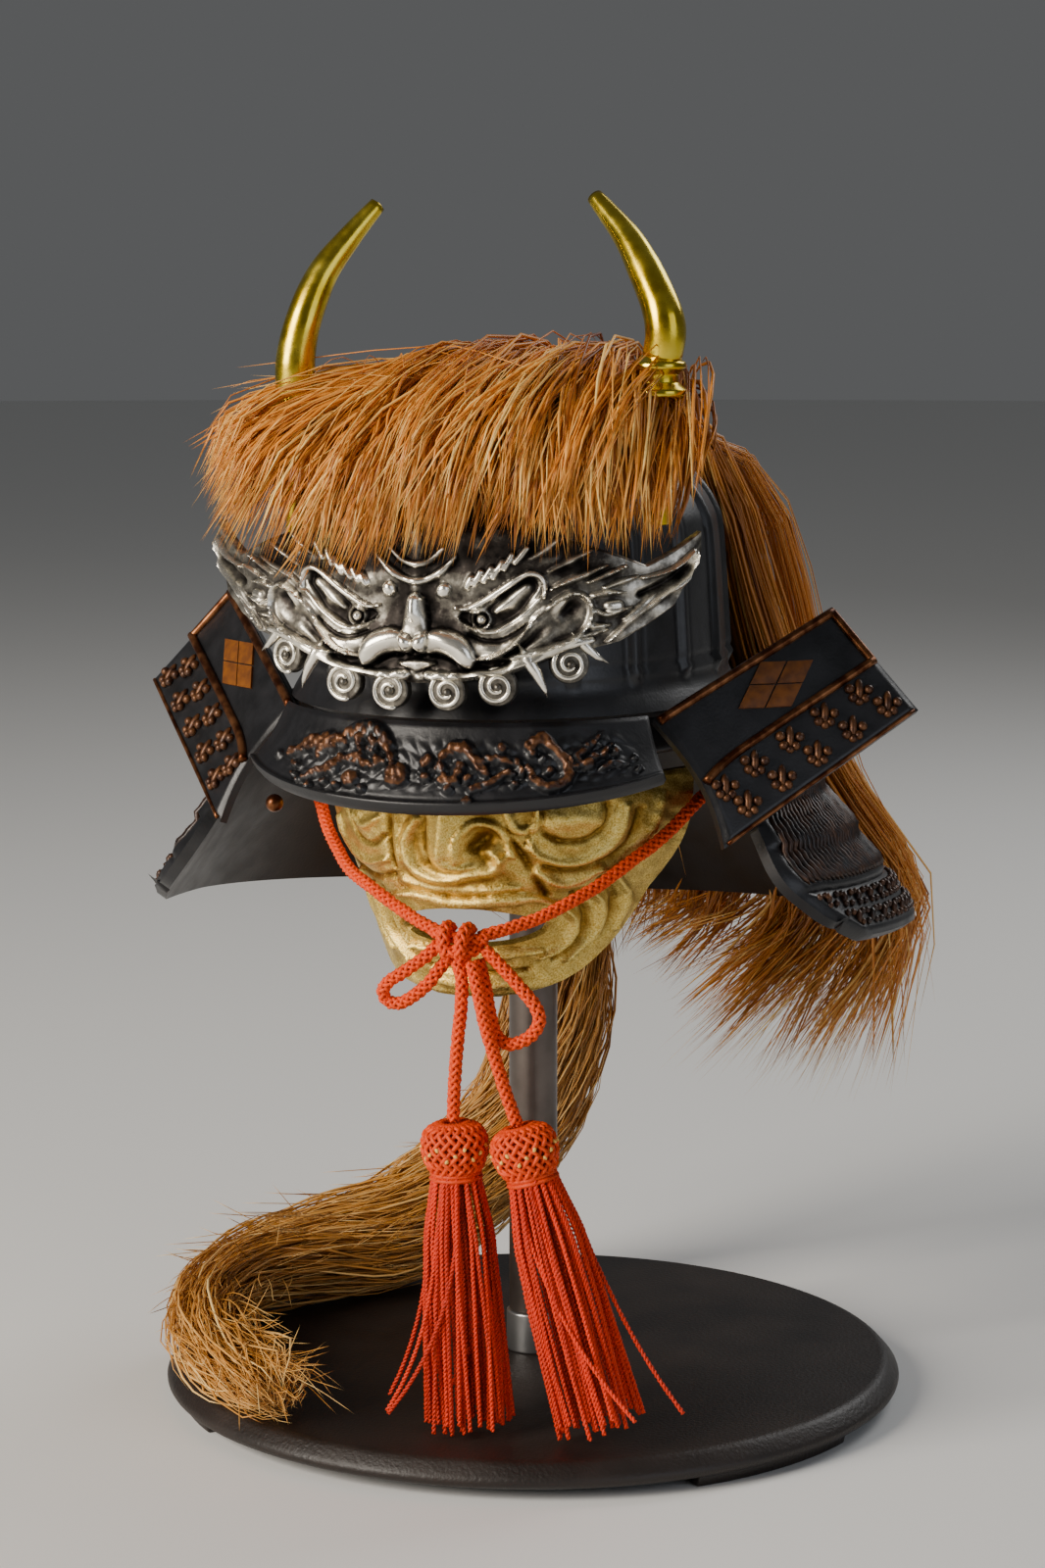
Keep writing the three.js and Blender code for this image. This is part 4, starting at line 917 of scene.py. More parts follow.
def visorSurface(u, v):
    turn = np.radians(mix(-61, 61, u))
    rim = np.stack([56 * np.sin(turn), -28 - 56 * np.cos(turn), 154 + 5 * (2 * u - 1) ** 2], -1)
    root = bowlPoint(mix(-54, 54, u), 1.06, 172.65)
    point = root + (rim - root) * np.asarray(v)[:, None]
    point[:, 2] -= 1.6 * np.sin(np.pi * v)
    return point


def visorFront(u, v):
    return standOff(visorSurface, u, v, np.full(len(u), -2.2))


def visorHeight(points, u, v):
    along, down = 119 * u, 19.5 * v
    height = np.zeros(len(u))
    for line, widths, lift in visorStrokes:
        stroke(height, along, down, line, widths, lift)
    for x, z, radius, lift in visorLumps:
        lump(height, along, down, x, z, radius, lift)
    rocky = smoothStep(14, 24, along) * smoothStep(116, 104, along) \
        * smoothStep(0.1, 0.3, v) * smoothStep(0.82, 0.6, v)
    height += 0.55 * rocky * np.abs(np.sin(0.9 * along + 1.7 * np.sin(0.55 * down))
                                    * np.sin(1.1 * down + 0.8 * np.sin(0.6 * along)))
    height = np.minimum(height, 2.4)
    rough = sum(np.sin(a * along + b * down + c) for a, b, c in ((2.1, 1.3, 0), (-1.2, 2.7, 2), (3.1, -1.9, 4)))
    height += 0.12 * rough * smoothStep(0.3, 1, height)
    return height + 1.1 * smoothStep(0.86, 0.93, v) - 0.15 * np.exp(-((v - 0.84) / 0.02) ** 2)


def makeVisor():
    def worn(height, standing, u, v):
        return smoothStep(0.95, 1.8, height) * smoothStep(0.4, 0.75, standing)

    sheet = reliefSheet("visorSheet", visorFront, (300, 60), visorHeight, -1, 2.2, reliefLacquer, "rub",
                        spread=5, depth=1.0, shade=worn)
    dress(sheet, "visor")
    bm = bmesh.new()
    pellet(bm, (-44.4, -55.5, 150.4), (2.1, 2.1, 2.1), detail=3)
    dress(fromBmesh("visorRivet", bm, copper), "visor_rivet")


def guardSurface(u, v):
    v = np.asarray(v, float)
    lower = np.clip((v - 0.5) / 0.5, 0, 1)
    front = guardShape["fold"] + 13.8 * lower + 3.5 * np.clip((v - 0.88) / 0.12, 0, 1) ** 2 \
        + 11 * smoothStep(0.8, 0.35, v)
    return guardPoint(mix(-front, front - 360, u), v)


def guardOutside(u, v):
    return standOff(guardSurface, u, v, np.full(len(u), guardShape["wall"], float))


def lameStep(v):
    return guardShape["step"] * smoothStep(0.1, 1, (np.asarray(v) * guardShape["lames"]) % 1)


# Lacquered iron lames, laced in upright rows, with a band of small flowers below.
def makeGuard():
    def height(points, u, v):
        groove = np.exp(-((v - 0.79) / 0.012) ** 2)
        band = smoothStep(0.8, 0.82, v) * 0.5
        return lameStep(v) * smoothStep(0.815, 0.8, v) + band - 0.5 * groove \
            + 0.7 * smoothStep(0.97, 0.985, v) + 0.6 * smoothStep(0.985, 0.995, np.maximum(u, 1 - u))

    sheet = reliefSheet("guardSheet", guardOutside, (guardShape["columns"], guardShape["rows"]), height, 1,
                        3.2, plainLacquer, "rub", spread=3)
    lines = []
    laces, count, flowers = guardShape["laces"], guardShape["lacePoints"], guardShape["flowers"]
    for k in range(laces):
        u = mix(0.013, 0.987, k / (laces - 1))
        at = np.linspace(0.04, 0.775, count)
        rise = lameStep(at) + 0.25 + 0.18 * np.sin(at * 150 + k)
        lines.append((standOff(guardOutside, np.full(count, u), at, rise), 0.82, 0.5))
    lacing = flatAttribute(tubes("guardLacing", lines, reliefLacquer, sides=6), "rub", 0.5)
    bm = bmesh.new()
    for k in range(flowers):
        for row, shift in ((0.85, 0.0), (0.93, 0.5)):
            u = (k + 0.25 + shift) / flowers
            if not 0.012 < u < 0.988:
                continue
            middle, beside, below = standOff(guardOutside, [u, u + 0.0021, u], [row, row, row + 0.03], [0.7] * 3)
            side, lift = beside - middle, below - middle
            pellet(bm, middle, (1.0, 1.0, 2.0), detail=1)
            for a, b in ((1.5, 0.5), (-1.5, 0.5), (1.3, -0.6), (-1.3, -0.6)):
                pellet(bm, middle + a * 1.15 * side + b * lift * 1.3, (0.95, 0.95, 0.95), detail=1)
    blossom = flatAttribute(fromBmesh("guardFlowers", bm, reliefLacquer), "rub", 0.6)
    dress(join("neckGuard", [sheet, lacing, blossom]), "neck_guard")


plateShape = {
    "corners": [(43.5, -44.8, 172.2), (75.2, -6.4, 194.9), (96.2, -8.1, 172.2), (61.6, -48.7, 144.3)],
    "curl": 3.2, "wall": 2.4,
    "emblem": (0.56, 0.255), "half": (0.21, 0.2),     # along and across
}


def plateSurface(side):
    a, b, c, d = (np.array(p) * (side, 1, 1) for p in plateShape["corners"])

    def place(u, v):
        s, t = np.asarray(u, float)[..., None], np.asarray(v, float)[..., None]
        point = mix(mix(a, b, s), mix(d, c, s), t)
        curl = plateShape["curl"] * (1 - np.clip(s / 0.3, 0, 1)) ** 2 * np.sin(np.pi * t)
        return point + curl * np.array([side, 0.2, 0])

    return place


def plainFace(points, u, v):
    return np.zeros(len(u))


def makePlate(side, name):
    surface, outward = plateSurface(side), -side

    def on(s, t, height):
        s, t = np.atleast_1d(s).astype(float), np.broadcast_to(t, np.shape(np.atleast_1d(s))).astype(float)
        return standOff(surface, s, t, outward * np.broadcast_to(height, s.shape))

    def height(points, u, v):
        return 0.35 * smoothStep(0.5, 0.52, v) + 0.1 * np.sin(9 * u + 4 * v) * np.sin(11 * v)

    pieces = [reliefSheet("plateSheet", surface, (90, 70), height, outward, plateShape["wall"],
                          plainLacquer, "rub", spread=3, rimDrop=0.6)]
    t = np.linspace(0, 1, 30)
    edges = [on(mix(0.012, 0.985, t), 0.03, 0.35), on(np.full(30, 0.978), mix(0.03, 0.5, t), 0.35),
             on(mix(0.012, 0.985, t), 0.505, 0.5), on(mix(0.015, 0.98, t), 0.985, 0.1)]
    radii = (1.1, 1.0, 1.05, 0.5)
    pieces.append(tubes("plateEdges", [(line, r, 0.5) for line, r in zip(edges, radii)], copper,
                        sides=12, blunt=True))
    middle, half = plateShape["emblem"], plateShape["half"]
    for a, b in ((1, 0), (-1, 0), (0, 1), (0, -1)):
        def diamond(u, v, a=a, b=b):
            p, q = (u - 0.5) * 0.94, (v - 0.5) * 0.94
            s = middle[0] + half[0] * (a * 0.5 + (p - q) * 0.5)
            across = middle[1] + half[1] * (b * 0.5 + (p + q) * 0.5)
            return on(s, across, 0.62)
        pieces.append(reliefSheet("plateDiamond", diamond, (8, 8), plainFace, outward, 0.9,
                                  inlay, rimDrop=0.12, spread=1))
    bm = bmesh.new()
    for k in range(5):
        for s, row in ((0.1 + 0.185 * k, 0.635), (0.165 + 0.185 * k, 0.83)):
            middlePoint = Vector(on(s, row, 0.7)[0])
            facing = (Vector(on(s, row, 1.7)[0]) - middlePoint).normalized()
            upright = (Vector((0.12, 0, 1)) - facing * facing.z).normalized()
            aside = upright.cross(facing)
            tilt = upright.to_track_quat("Z", "Y").to_matrix().to_4x4()
            pellet(bm, middlePoint + 0.4 * upright, (1.0, 1.0, 2.7), tilt)
            for a, b, r in ((2.3, 0.5, 1.2), (-2.3, 0.3, 1.2), (1.4, -1.7, 1.1), (-1.5, -1.8, 1.1), (0, -2.6, 1.0)):
                pellet(bm, middlePoint + a * aside + b * upright, (r, r, r))
    pieces.append(flatAttribute(fromBmesh("plateFlowers", bm, reliefLacquer), "rub", 0.85))
    dress(join(name, pieces), "turnback_" + ("right" if side > 0 else "left"))


def makeHelmet():
    makeBowl()
    makeVisor()
    makeGuard()
    makePlate(1, "rightTurnback")
    makePlate(-1, "leftTurnback")
    print("helmet is made")


crestShape = {      # millimetres, mirrored about the middle
    "plan": (-80.0, 24.0, 57.8, 2.6),
    "across": [0, 10, 20, 30, 38, 43, 48, 53, 57.8],
    "low": [182.6, 183.2, 184.8, 188.6, 190.8, 192.2, 195.4, 199.5, 211.2],
    "high": [217, 217, 216.5, 215.5, 213, 211, 208.6, 211.6, 215.6],
    "wall": 2.4, "columns": 340, "rows": 96,
    "scrolls": [(6.6, 180.9), (17.8, 182.3), (32.8, 187.4)],
    "scrollRadius": 4.5,
}
crestRelief = [     # points, half widths, height, form
    # the broad swelling cheek and brow
    ([(4, 194), (13, 190.6), (22, 191), (29, 196), (33, 203)], (3, 4, 3.4, 2.4, 1), 1.1, "soft"),
    ([(6, 206), (14, 206), (22, 209), (30, 210)], (4, 4, 3.4, 2), 0.8, "soft"),
    ([(0, 216), (0, 205), (0, 198)], (3.4, 2.8, 2.2), 1.0, "soft"),
    # eye, its hollow and its lids
    ([(10.6, 197.4), (15, 196.6), (20, 199.6), (24.8, 204.4)], (1.2, 2.4, 3.2, 2.2), -1.1, "flat"),
    ([(17.8, 198.8), (20.6, 200.8), (24.4, 204.2)], (1.0, 2.2, 1.7), 1.3, "soft"),
    ([(8.6, 199.6), (11.2, 199.3), (14.6, 200.7), (18.7, 203.3), (22.6, 206), (25.3, 207.2),
      (27.4, 206.4), (28.2, 204.1), (27.9, 201.9)], (0.3, 0.6, 0.75, 0.8, 0.8, 0.8, 0.7, 0.6, 0.4), 1.3, "round"),
    ([(9.4, 197.2), (13.4, 194.6), (17.7, 194.4), (21.3, 196.4), (24.6, 199), (27.4, 202.2)],
     (0.3, 0.5, 0.5, 0.5, 0.5, 0.4), 0.7, "round"),
    ([(11.6, 193.8), (15.3, 192.4), (19.3, 192.6), (23.9, 195.4), (27.7, 198.8), (29.6, 201)],
     (0.4, 0.6, 0.6, 0.6, 0.6, 0.4), -0.8, "round"),
    # the ridge round the cheek, and the dark hollow inside it
    ([(13.9, 188.2), (17.7, 189.1), (20.6, 190.7), (23.6, 194), (26.1, 197.4), (28.7, 199.7), (31.5, 202),
      (34.5, 202.9), (36.6, 201.8), (37.5, 199.3), (36.9, 196.3), (35.4, 194.3), (33, 192.7),
      (29.6, 191.4), (25.8, 190), (21.3, 188.7)], 0.75, 1.7, "sharp"),
    ([(19.8, 189.2), (23, 191), (26.4, 193.8), (29.6, 196.6), (33.4, 199.3)],
     (0.6, 1.1, 1.7, 2.5, 2.6), -1.7, "soft"),
    ([(13.9, 187.4), (16.6, 187), (20, 187.6)], (1.2, 1.7, 1.3), -0.9, "soft"),
    ([(31.4, 197.2), (34.2, 199)], (1.2, 1.4), 0.5, "soft"),
    # jaw
    ([(2.8, 184.5), (7.7, 183.9), (13.3, 184.2), (18.6, 185.3), (24.5, 187.7), (30.2, 190.7),
      (33.9, 191.9), (37.5, 192.7)], (1.2, 1.7, 1.8, 1.8, 1.6, 1.4, 1.2, 0.7), 1.5, "round"),
    # nose and muzzle
    ([(0, 200.6), (0, 196.6), (0, 192)], (2.2, 3.1, 3.4), 3.2, "round"),
    ([(2.2, 191.4), (5.7, 192.1), (9.3, 190.8), (11.4, 188.2)], (2.4, 3.0, 3.0, 2.3), 2.7, "round"),
    ([(-1.6, 189.4), (0, 190), (1.6, 189.4)], 0.9, -1.4, "soft"),
    ([(0, 186.7), (4.2, 187.2)], (1.5, 0.3), 1.4, "round"),
    ([(3.4, 188.9), (7, 188.4), (11.8, 185.9)], (0.4, 0.6, 0.5), -1.1, "soft"),
    # feathers beside the cheek
    ([(37.8, 202.3), (40.5, 202.9), (43.9, 202.9)], (0.8, 0.9, 0.2), 1.3, "sharp"),
    ([(38.4, 199), (40.5, 198.2), (45.1, 199.8)], (0.8, 1.0, 0.2), 1.3, "sharp"),
    ([(37.8, 195.6), (41.1, 195.9)], (1.2, 0.3), 1.1, "sharp"),
    ([(33.9, 193), (37.5, 194), (40.5, 194.9)], (0.6, 0.9, 0.3), 1.0, "sharp"),
    ([(41.2, 199.9), (42.4, 200.1)], 1.3, 1.0, "round"),
    # ear: lower edge, tip, inner rim and the hollow between
    ([(40.5, 192.2), (45.7, 197.7), (50.7, 201.9), (56.1, 206.3), (56.8, 210.6)], (0.6, 0.9, 1, 1, 0.7),
     1.6, "sharp"),
    ([(47.1, 206.0), (50.4, 206.8), (53.4, 208.3), (56.2, 211.4)], (0.5, 0.7, 0.8, 0.6), 1.6, "sharp"),
    ([(47, 202.4), (51.6, 204.8), (55, 208)], (1.1, 1.4, 0.9), -1.4, "soft"),
    # locks of hair
    ([(29.3, 203.7), (31.5, 205), (36.3, 207), (40.4, 208.9)], (0.4, 1, 1, 0.3), 1.4, "sharp"),
    ([(36.9, 205.2), (40.5, 206.9), (44, 208.6)], (0.4, 0.9, 0.3), 1.4, "sharp"),
    ([(39.9, 204.0), (43.4, 205.4), (46.2, 206.4)], (0.4, 0.9, 0.3), 1.3, "sharp"),
    ([(29, 207.6), (33, 209.8), (37.4, 212.2)], (0.5, 1.2, 0.3), 1.3, "sharp"),
    ([(25.4, 210.6), (29, 213), (32, 215.6)], (0.5, 1.2, 0.3), 1.3, "sharp"),
    ([(43.6, 197), (46.6, 199.8), (49.4, 202.4)], (0.4, 0.7, 0.3), 0.9, "sharp"),
    # balls and the chevron over the nose
    ([(6.2, 203.1), (6.3, 203.3)], 1.7, 1.9, "round"),
    ([(0, 205.2), (2.6, 205.6), (6.2, 207.8), (9, 210.6)], (0.9, 0.9, 0.8, 0.5), 1.4, "round"),
    ([(0, 208.8), (3, 209.6), (6.2, 212.4)], (0.8, 0.8, 0.5), 1.1, "round"),
]
browRibs = [((11.6, 204.2), (12.6, 206.2)), ((13.3, 204.9), (14.7, 207.5)), ((15.3, 205.6), (17, 208.3)),
            ((17.3, 206.4), (19.3, 209.7)), ((19.7, 208.3), (21.3, 211.3)), ((22, 209.7), (24.5, 212.7))]


def crestPoint(x, z):
    base, depth, half, power = crestShape["plan"]
    return np.stack([x, base + depth * np.abs(x / half) ** power, z], -1)


def crestSurface(u, v):
    x = (2 * u - 1) * crestShape["across"][-1]
    low = np.interp(np.abs(x), crestShape["across"], crestShape["low"])
    high = np.interp(np.abs(x), crestShape["across"], crestShape["high"])
    return crestPoint(x, mix(low, high, v))


# One curled scroll under the jaw: a coin with a rim winding in to a small ball.
def crestScroll(x, z, side):
    radius = crestShape["scrollRadius"]
    y = crestPoint(np.array(x), z)[1]
    slope = math.degrees(math.atan2(crestPoint(np.array(x + 1.0), z)[1] - crestPoint(np.array(x - 1.0), z)[1], 2))
    bm = bmesh.new()
    bmesh.ops.create_cone(bm, cap_ends=True, segments=40, radius1=radius * mm, radius2=radius * 0.94 * mm,
                          depth=2.4 * mm)
    rim = [e for e in bm.edges if e.is_boundary or abs(e.calc_face_angle(0)) > 1]
    bmesh.ops.bevel(bm, geom=rim, offset=0.4 * mm, affect="EDGES", segments=3, profile=0.5, material=-1)
    pellet(bm, (0.2, -0.1, 1.4), (0.95, 0.95, 0.95))
    setUp = Matrix.Translation(Vector((x, y + 1.2, z)) * mm) @ Matrix.Rotation(math.radians(slope), 4, "Z") \
        @ Matrix.Rotation(math.radians(90), 4, "X")
    bm.transform(setUp)
    disc = fromBmesh("scrollDisc", bm, silver)
    turns = np.linspace(0, 1, 46)
    angle = side * (1.1 + turns * 3.5 * math.pi)
    out = radius * mix(0.92, 0.2, turns)
    flat = np.c_[out * np.cos(angle), out * np.sin(angle), np.full(46, 1.25), np.ones(46)] * (mm, mm, mm, 1)
    path = (flat @ np.array(setUp).T)[:, :3] / mm
    winding = tubes("scrollWinding", [(path, 0.55, 1.0)], silver, sides=8)
    return [flatAttribute(disc, "crest", 0.42), flatAttribute(winding, "crest", 0.95)]


def crestHeight(points, u, v):
    x, z = np.abs(points[:, 0]), points[:, 2]
    height = np.zeros(len(x))
    for line, widths, lift, form in crestRelief:
        stroke(height, x, z, line, widths, lift, form)
    for low, high in browRibs:
        stroke(height, x, z, [low, high], (0.75, 0.75), 1.3)
    away = np.hypot(x - 14.5, z - 197)
    height += 1.1 * np.exp(-((away - 2.0) / 0.45) ** 2)
    lump(height, x, z, 14.5, 197, 1.2, 1.9)
    chin = np.exp(-((z - 184.6) / 1.6) ** 2) * smoothStep(11, 8, x)
    height += chin * (0.45 + 0.3 * np.sin(1.9 * points[:, 0] + 0.7) * np.sin(2.3 * z))
    rng = np.random.default_rng(5)
    for a, b, c in rng.uniform(-1.4, 1.4, (9, 3)):
        height += 0.04 * np.sin(points[:, 0] * a + z * b + 3 * c)
    return height


# Painted shade: the forehead under the overhanging hair is darkened in place of the hair's shadow, and the rest of
# the crest is lifted a little.
def browShadedUnderHair(height, standing, u, v):
    return standing + 0.08 - 0.32 * smoothStep(0.62, 0.76, v) * smoothStep(0.42, 0.3, np.abs(u - 0.5))


def makeCrest():
    pieces = [reliefSheet("crestSheet", crestSurface, (crestShape["columns"], crestShape["rows"]), crestHeight,
                          1, crestShape["wall"], silver, spread=6, depth=1.0, shade=browShadedUnderHair)]
    for side in (1, -1):
        for scrollX, scrollZ in crestShape["scrolls"]:
            pieces += crestScroll(side * scrollX, scrollZ, side)
        barb = crestPoint(side * np.array([22.6, 24.6, 26.6, 28.2, 28.8]), np.array([192, 188.6, 185.4, 182, 180]))
        hook = crestPoint(side * np.array([33.6, 36.2, 38.6, 41]), np.array([194.4, 191.6, 189, 187.4]))
        for line, radii in ((barb - [0, 0.3, 0], (0.9, 1.5, 1.3, 0.6, 0)), (hook - [0, 0.3, 0], (0.8, 1.2, 0.8, 0))):
            pieces.append(flatAttribute(tubes("crestBarb", [(line, radii, 1.0)], silver, sides=10), "crest", 0.95))
    dress(join("crest", pieces), "crest_mask")
    print("crest is made")


faceRows = smoothLine([     # z, half width, front y, edge y
    (158, 45.5, -60.5, -18), (152, 45.3, -60.5, -18), (147, 44.8, -60, -18), (142, 43.3, -59.4, -18),
    (137.5, 41, -58.6, -18.6), (133.5, 38.4, -58, -20), (129.5, 35.6, -57.2, -22), (125.5, 33.6, -55.6, -24),
    (121.5, 31.4, -53.6, -26.4), (117.5, 28.8, -52, -29.5), (114, 25.8, -50.9, -33), (111, 22.4, -50, -37.5),
    (108.6, 17, -49.2, -43), (106.4, 8, -48.6, -47)], 60)[::-1]
mouth = {"x": 2.6, "z": 123.8, "halfWide": 17, "halfHigh": 4.7}
faceRelief = [      # points, half widths, height, form
    # nose: wings, tip, ridge between the brows
    ([(-7.3, 149.7), (-10.4, 144.7), (-10.2, 140.2), (-7.5, 137), (-3.6, 135.6), (0.6, 135.6), (5.5, 137.2),
      (9.8, 138.3), (12, 141.2)], (1.4, 2.0, 2.2, 2.1, 1.8, 1.8, 1.9, 2.0, 1.4), 2.2, "soft"),
    ([(-4.9, 149.8), (-5.3, 144.6), (-4.6, 139.2)], (0.7, 0.9, 0.5), -0.9, "soft"),
    ([(0.6, 152), (-0.6, 146), (-1.3, 140.9), (1.6, 138.9), (5.6, 139.3)], (2.2, 2, 1.8, 1.5, 0.9), 1.4, "soft"),
    ([(6.4, 143.6), (8.6, 145.4)], (2.2, 2), -2.6, "soft"),
    ([(2.6, 140.9), (3.1, 146), (6.5, 149.1), (10.8, 148.2), (13.3, 145.2), (14.1, 141.7)], 1.0, 1.3, "round"),
    ([(10, 142.2), (11.2, 141.2)], 1.7, 1.5, "soft"),
    # smile crease from the wing, curl and ovals of the cheek
    ([(14.2, 144.8), (16.4, 141.2), (18.4, 136.2), (20.2, 131.8)], (0.8, 1.2, 1.2, 0.7), -1.5, "soft"),
    ([(18.8, 137), (22.4, 134.2), (26.1, 134.4), (30, 137)], (1.6, 1.9, 1.8, 0.9), 1.5, "soft"),
    ([(12.6, 153), (15.4, 147.4), (19.2, 148.4), (19.4, 152.6)], (0.9, 1.1, 1.1, 0.7), 1.4, "round"),
    ([(17.1, 144), (18, 147.4)], (0.7, 0.7), -1.0, "soft"),
    ([(22.4, 149.5), (29.6, 149.5)], (3.6, 3.6), 1.7, "soft"),
    ([(20.6, 152), (20.4, 147.4), (23.8, 144.4), (28.8, 144.4), (32, 148), (32.4, 152)], 0.9, -1.1, "soft"),
    ([(17.6, 145), (19.4, 141.2), (25, 139), (30.5, 140.9), (34, 145.4), (35.3, 151.2)],
     (0.8, 1.3, 1.4, 1.4, 1.3, 0.9), 1.4, "soft"),
    ([(20.4, 138.4), (25, 137.2), (31.2, 138.8), (35.6, 143.2), (37.6, 150)], 0.9, -1.1, "soft"),
    ([(30.4, 136.2), (36, 139.6), (39.6, 146.4), (40.8, 153)], (1.0, 1.5, 1.5, 0.9), 1.1, "soft"),
    # lips and the rings round the mouth's corner
    ([(-15, 130.6), (-9.9, 131.4), (-4, 130.4), (1.2, 130), (10, 130.6), (17.2, 131.2), (21, 129.6)],
     (0.6, 1.2, 1.4, 1.3, 1.4, 1.4, 0.8), 1.6, "round"),
    ([(-12, 134.6), (-4, 133), (6, 133.2), (15, 134)], (1.2, 1.6, 1.6, 1.0), 0.9, "soft"),
    ([(22.4, 129.4), (24, 124.1), (21.6, 118.8), (17, 116.4)], (0.9, 1.2, 1.2, 0.7), 1.4, "soft"),
    ([(24.6, 131.8), (26, 126.4), (24.2, 120), (19.4, 115.4)], (0.7, 0.9, 0.9, 0.6), -1.2, "soft"),
    ([(27.2, 133), (28.6, 127.4), (26.6, 120.4), (21.4, 115.2)], (1.0, 1.3, 1.3, 0.7), 1.4, "soft"),
    ([(29.6, 134.4), (30.6, 128.8), (28.4, 121.4), (23.4, 116)], (0.7, 0.9, 0.9, 0.6), -1.1, "soft"),
    ([(32.2, 134), (32.6, 128.4), (30, 121)], (0.9, 1.2, 0.7), 1.0, "soft"),
    ([(-12, 118.6), (-4, 117), (4, 117), (10.6, 117.6), (17.2, 118.1)], (0.8, 1.4, 1.6, 1.4, 0.7), 1.5, "round"),
    ([(-8, 113.6), (2, 112.4), (14.4, 113.4)], (0.7, 0.9, 0.6), -0.9, "soft"),
    ([(-6, 110), (2, 109.2), (10, 110)], (1.6, 2.2, 1.6), 0.9, "soft"),
    # left cheek and jaw folds
    ([(-34.4, 145.8), (-32.4, 140.6), (-23.6, 137.2), (-16.6, 138.8)], (0.8, 1.4, 1.5, 0.8), 1.4, "soft"),
    ([(-36.6, 142), (-31, 136.4), (-22.6, 134), (-15, 135.4)], 0.9, -1.0, "soft"),
    ([(-26.7, 148.4), (-22.8, 146.2), (-18.2, 148.5)], (1.2, 1.7, 1.0), 1.5, "soft"),
    ([(-31, 150), (-27, 143.6), (-21.4, 141.8), (-17, 144.4)], 0.8, -0.9, "soft"),
    ([(-15.2, 151), (-15.6, 143.5), (-14.6, 137.2)], (0.8, 1.0, 0.6), -1.4, "soft"),
    ([(-12.8, 150), (-13.2, 144), (-12.4, 139)], (0.7, 0.9, 0.6), 1.0, "soft"),
    ([(-22.6, 131.6), (-20.4, 122), (-13.8, 114.4)], (0.8, 1.3, 0.8), 1.4, "soft"),
    ([(-19.4, 131.4), (-17.4, 121.8), (-12.6, 115.6)], (0.6, 0.9, 0.6), -1.1, "soft"),
    ([(-16.4, 130), (-14.6, 121.4), (-11, 116.4)], (0.8, 1.1, 0.7), 1.3, "soft"),
    ([(-28, 134), (-26, 125), (-19.6, 116)], (0.9, 1.3, 0.8), 1.1, "soft"),
]


def faceRow(z, column):
    return np.interp(z, faceRows[:, 0], faceRows[:, column])


def faceSurface(u, v):
    z = mix(158.0, 106.4, np.asarray(v, float))
    turn = np.radians(mix(-90, 90, np.asarray(u, float)))
    x = faceRow(z, 1) * np.sin(turn)
    y = mix(faceRow(z, 2), faceRow(z, 3), np.abs(np.sin(turn)) ** 2.7)
    return np.stack(np.broadcast_arrays(x, y, z), -1)


def faceHeight(points, u, v):
    x, z = points[:, 0], points[:, 2]
    height = 5.0 * np.exp(-(x / 5.4) ** 2) * smoothStep(134, 143, z)
    for line, widths, lift, form in faceRelief:
        stroke(height, x, z, line, widths, lift, form)
    rng = np.random.default_rng(8)
    for a, b, c in rng.uniform(-2.2, 2.2, (12, 3)):
        height += 0.03 * np.sin(x * a + z * b + 3 * c)
    return height * smoothStep(0, 0.03, np.minimum(u, 1 - u))


# Opens the mouth: the cells inside its oval go, and the ones along it are drawn onto the oval.
def openMouth(bm, layers):
    across, down = layers[:2]

    def place(vert):
        point = faceSurface(vert[across], vert[down])
        return point[0], point[2]

    def reach(vert):
        x, z = place(vert)
        return math.hypot((x - mouth["x"]) / mouth["halfWide"], (z - mouth["z"]) / mouth["halfHigh"])

    near = {v: reach(v) for v in bm.verts if 0.3 < v[across] < 0.8 and 0.5 < v[down] < 0.8}
    inside = [f for f in bm.faces if all(v in near for v in f.verts)
              and sum(near[v] for v in f.verts) < 4 * 0.98]
    bmesh.ops.delete(bm, geom=inside, context="FACES")
    for vert, far in near.items():
        if vert.is_valid and vert.is_boundary and far > 0:
            x, z = place(vert)
            x = mouth["x"] + (x - mouth["x"]) / far
            z = mouth["z"] + (z - mouth["z"]) / far
            vert[down] = (158 - z) / 51.6
            vert[across] = 0.5 + math.degrees(math.asin(min(1, x / float(faceRow(z, 1))))) / 180


def makeFace():
    dress(reliefSheet("faceMask", faceSurface, (230, 150), faceHeight, -1, 2.2, maskGilt, cutOut=openMouth,
                      spread=8, depth=1.6), "face_mask")
    print("face mask is made")


horns = {
    "y": -45.3,
    "stack": [(0, 0), (2.8, 0), (4.0, -0.4), (4.7, -1.2), (6.0, -1.9), (6.1, -3.2), (4.4, -4.4), (4.3, -6.4),
              (5.4, -7.2), (6.5, -8.0), (6.4, -9.4), (4.4, -10.6), (3.3, -12.2), (3.3, -13), (4.3, -14),
              (4.5, -16.4), (3.4, -18), (2.5, -20), (2.4, -38), (0, -38)],
    "radii": [4.4, 4.6, 4.2, 3.9, 3.3, 2.6, 1.9],
    "right": {"x": 44.5, "top": 254, "path": [(45, -45.5, 252), (46.2, -46, 258.5), (44.8, -45.5, 264.5),
                                              (39.5, -42, 273.6), (34.7, -39, 280), (26.1, -34.5, 288.5)]},
    "left": {"x": -42.5, "top": 244, "path": [(-42.5, -45.5, 242), (-42, -46, 252), (-40.2, -45.3, 261),
                                              (-36.8, -42, 271.3), (-31.3, -38, 280), (-26.1, -34.5, 287)]},
}


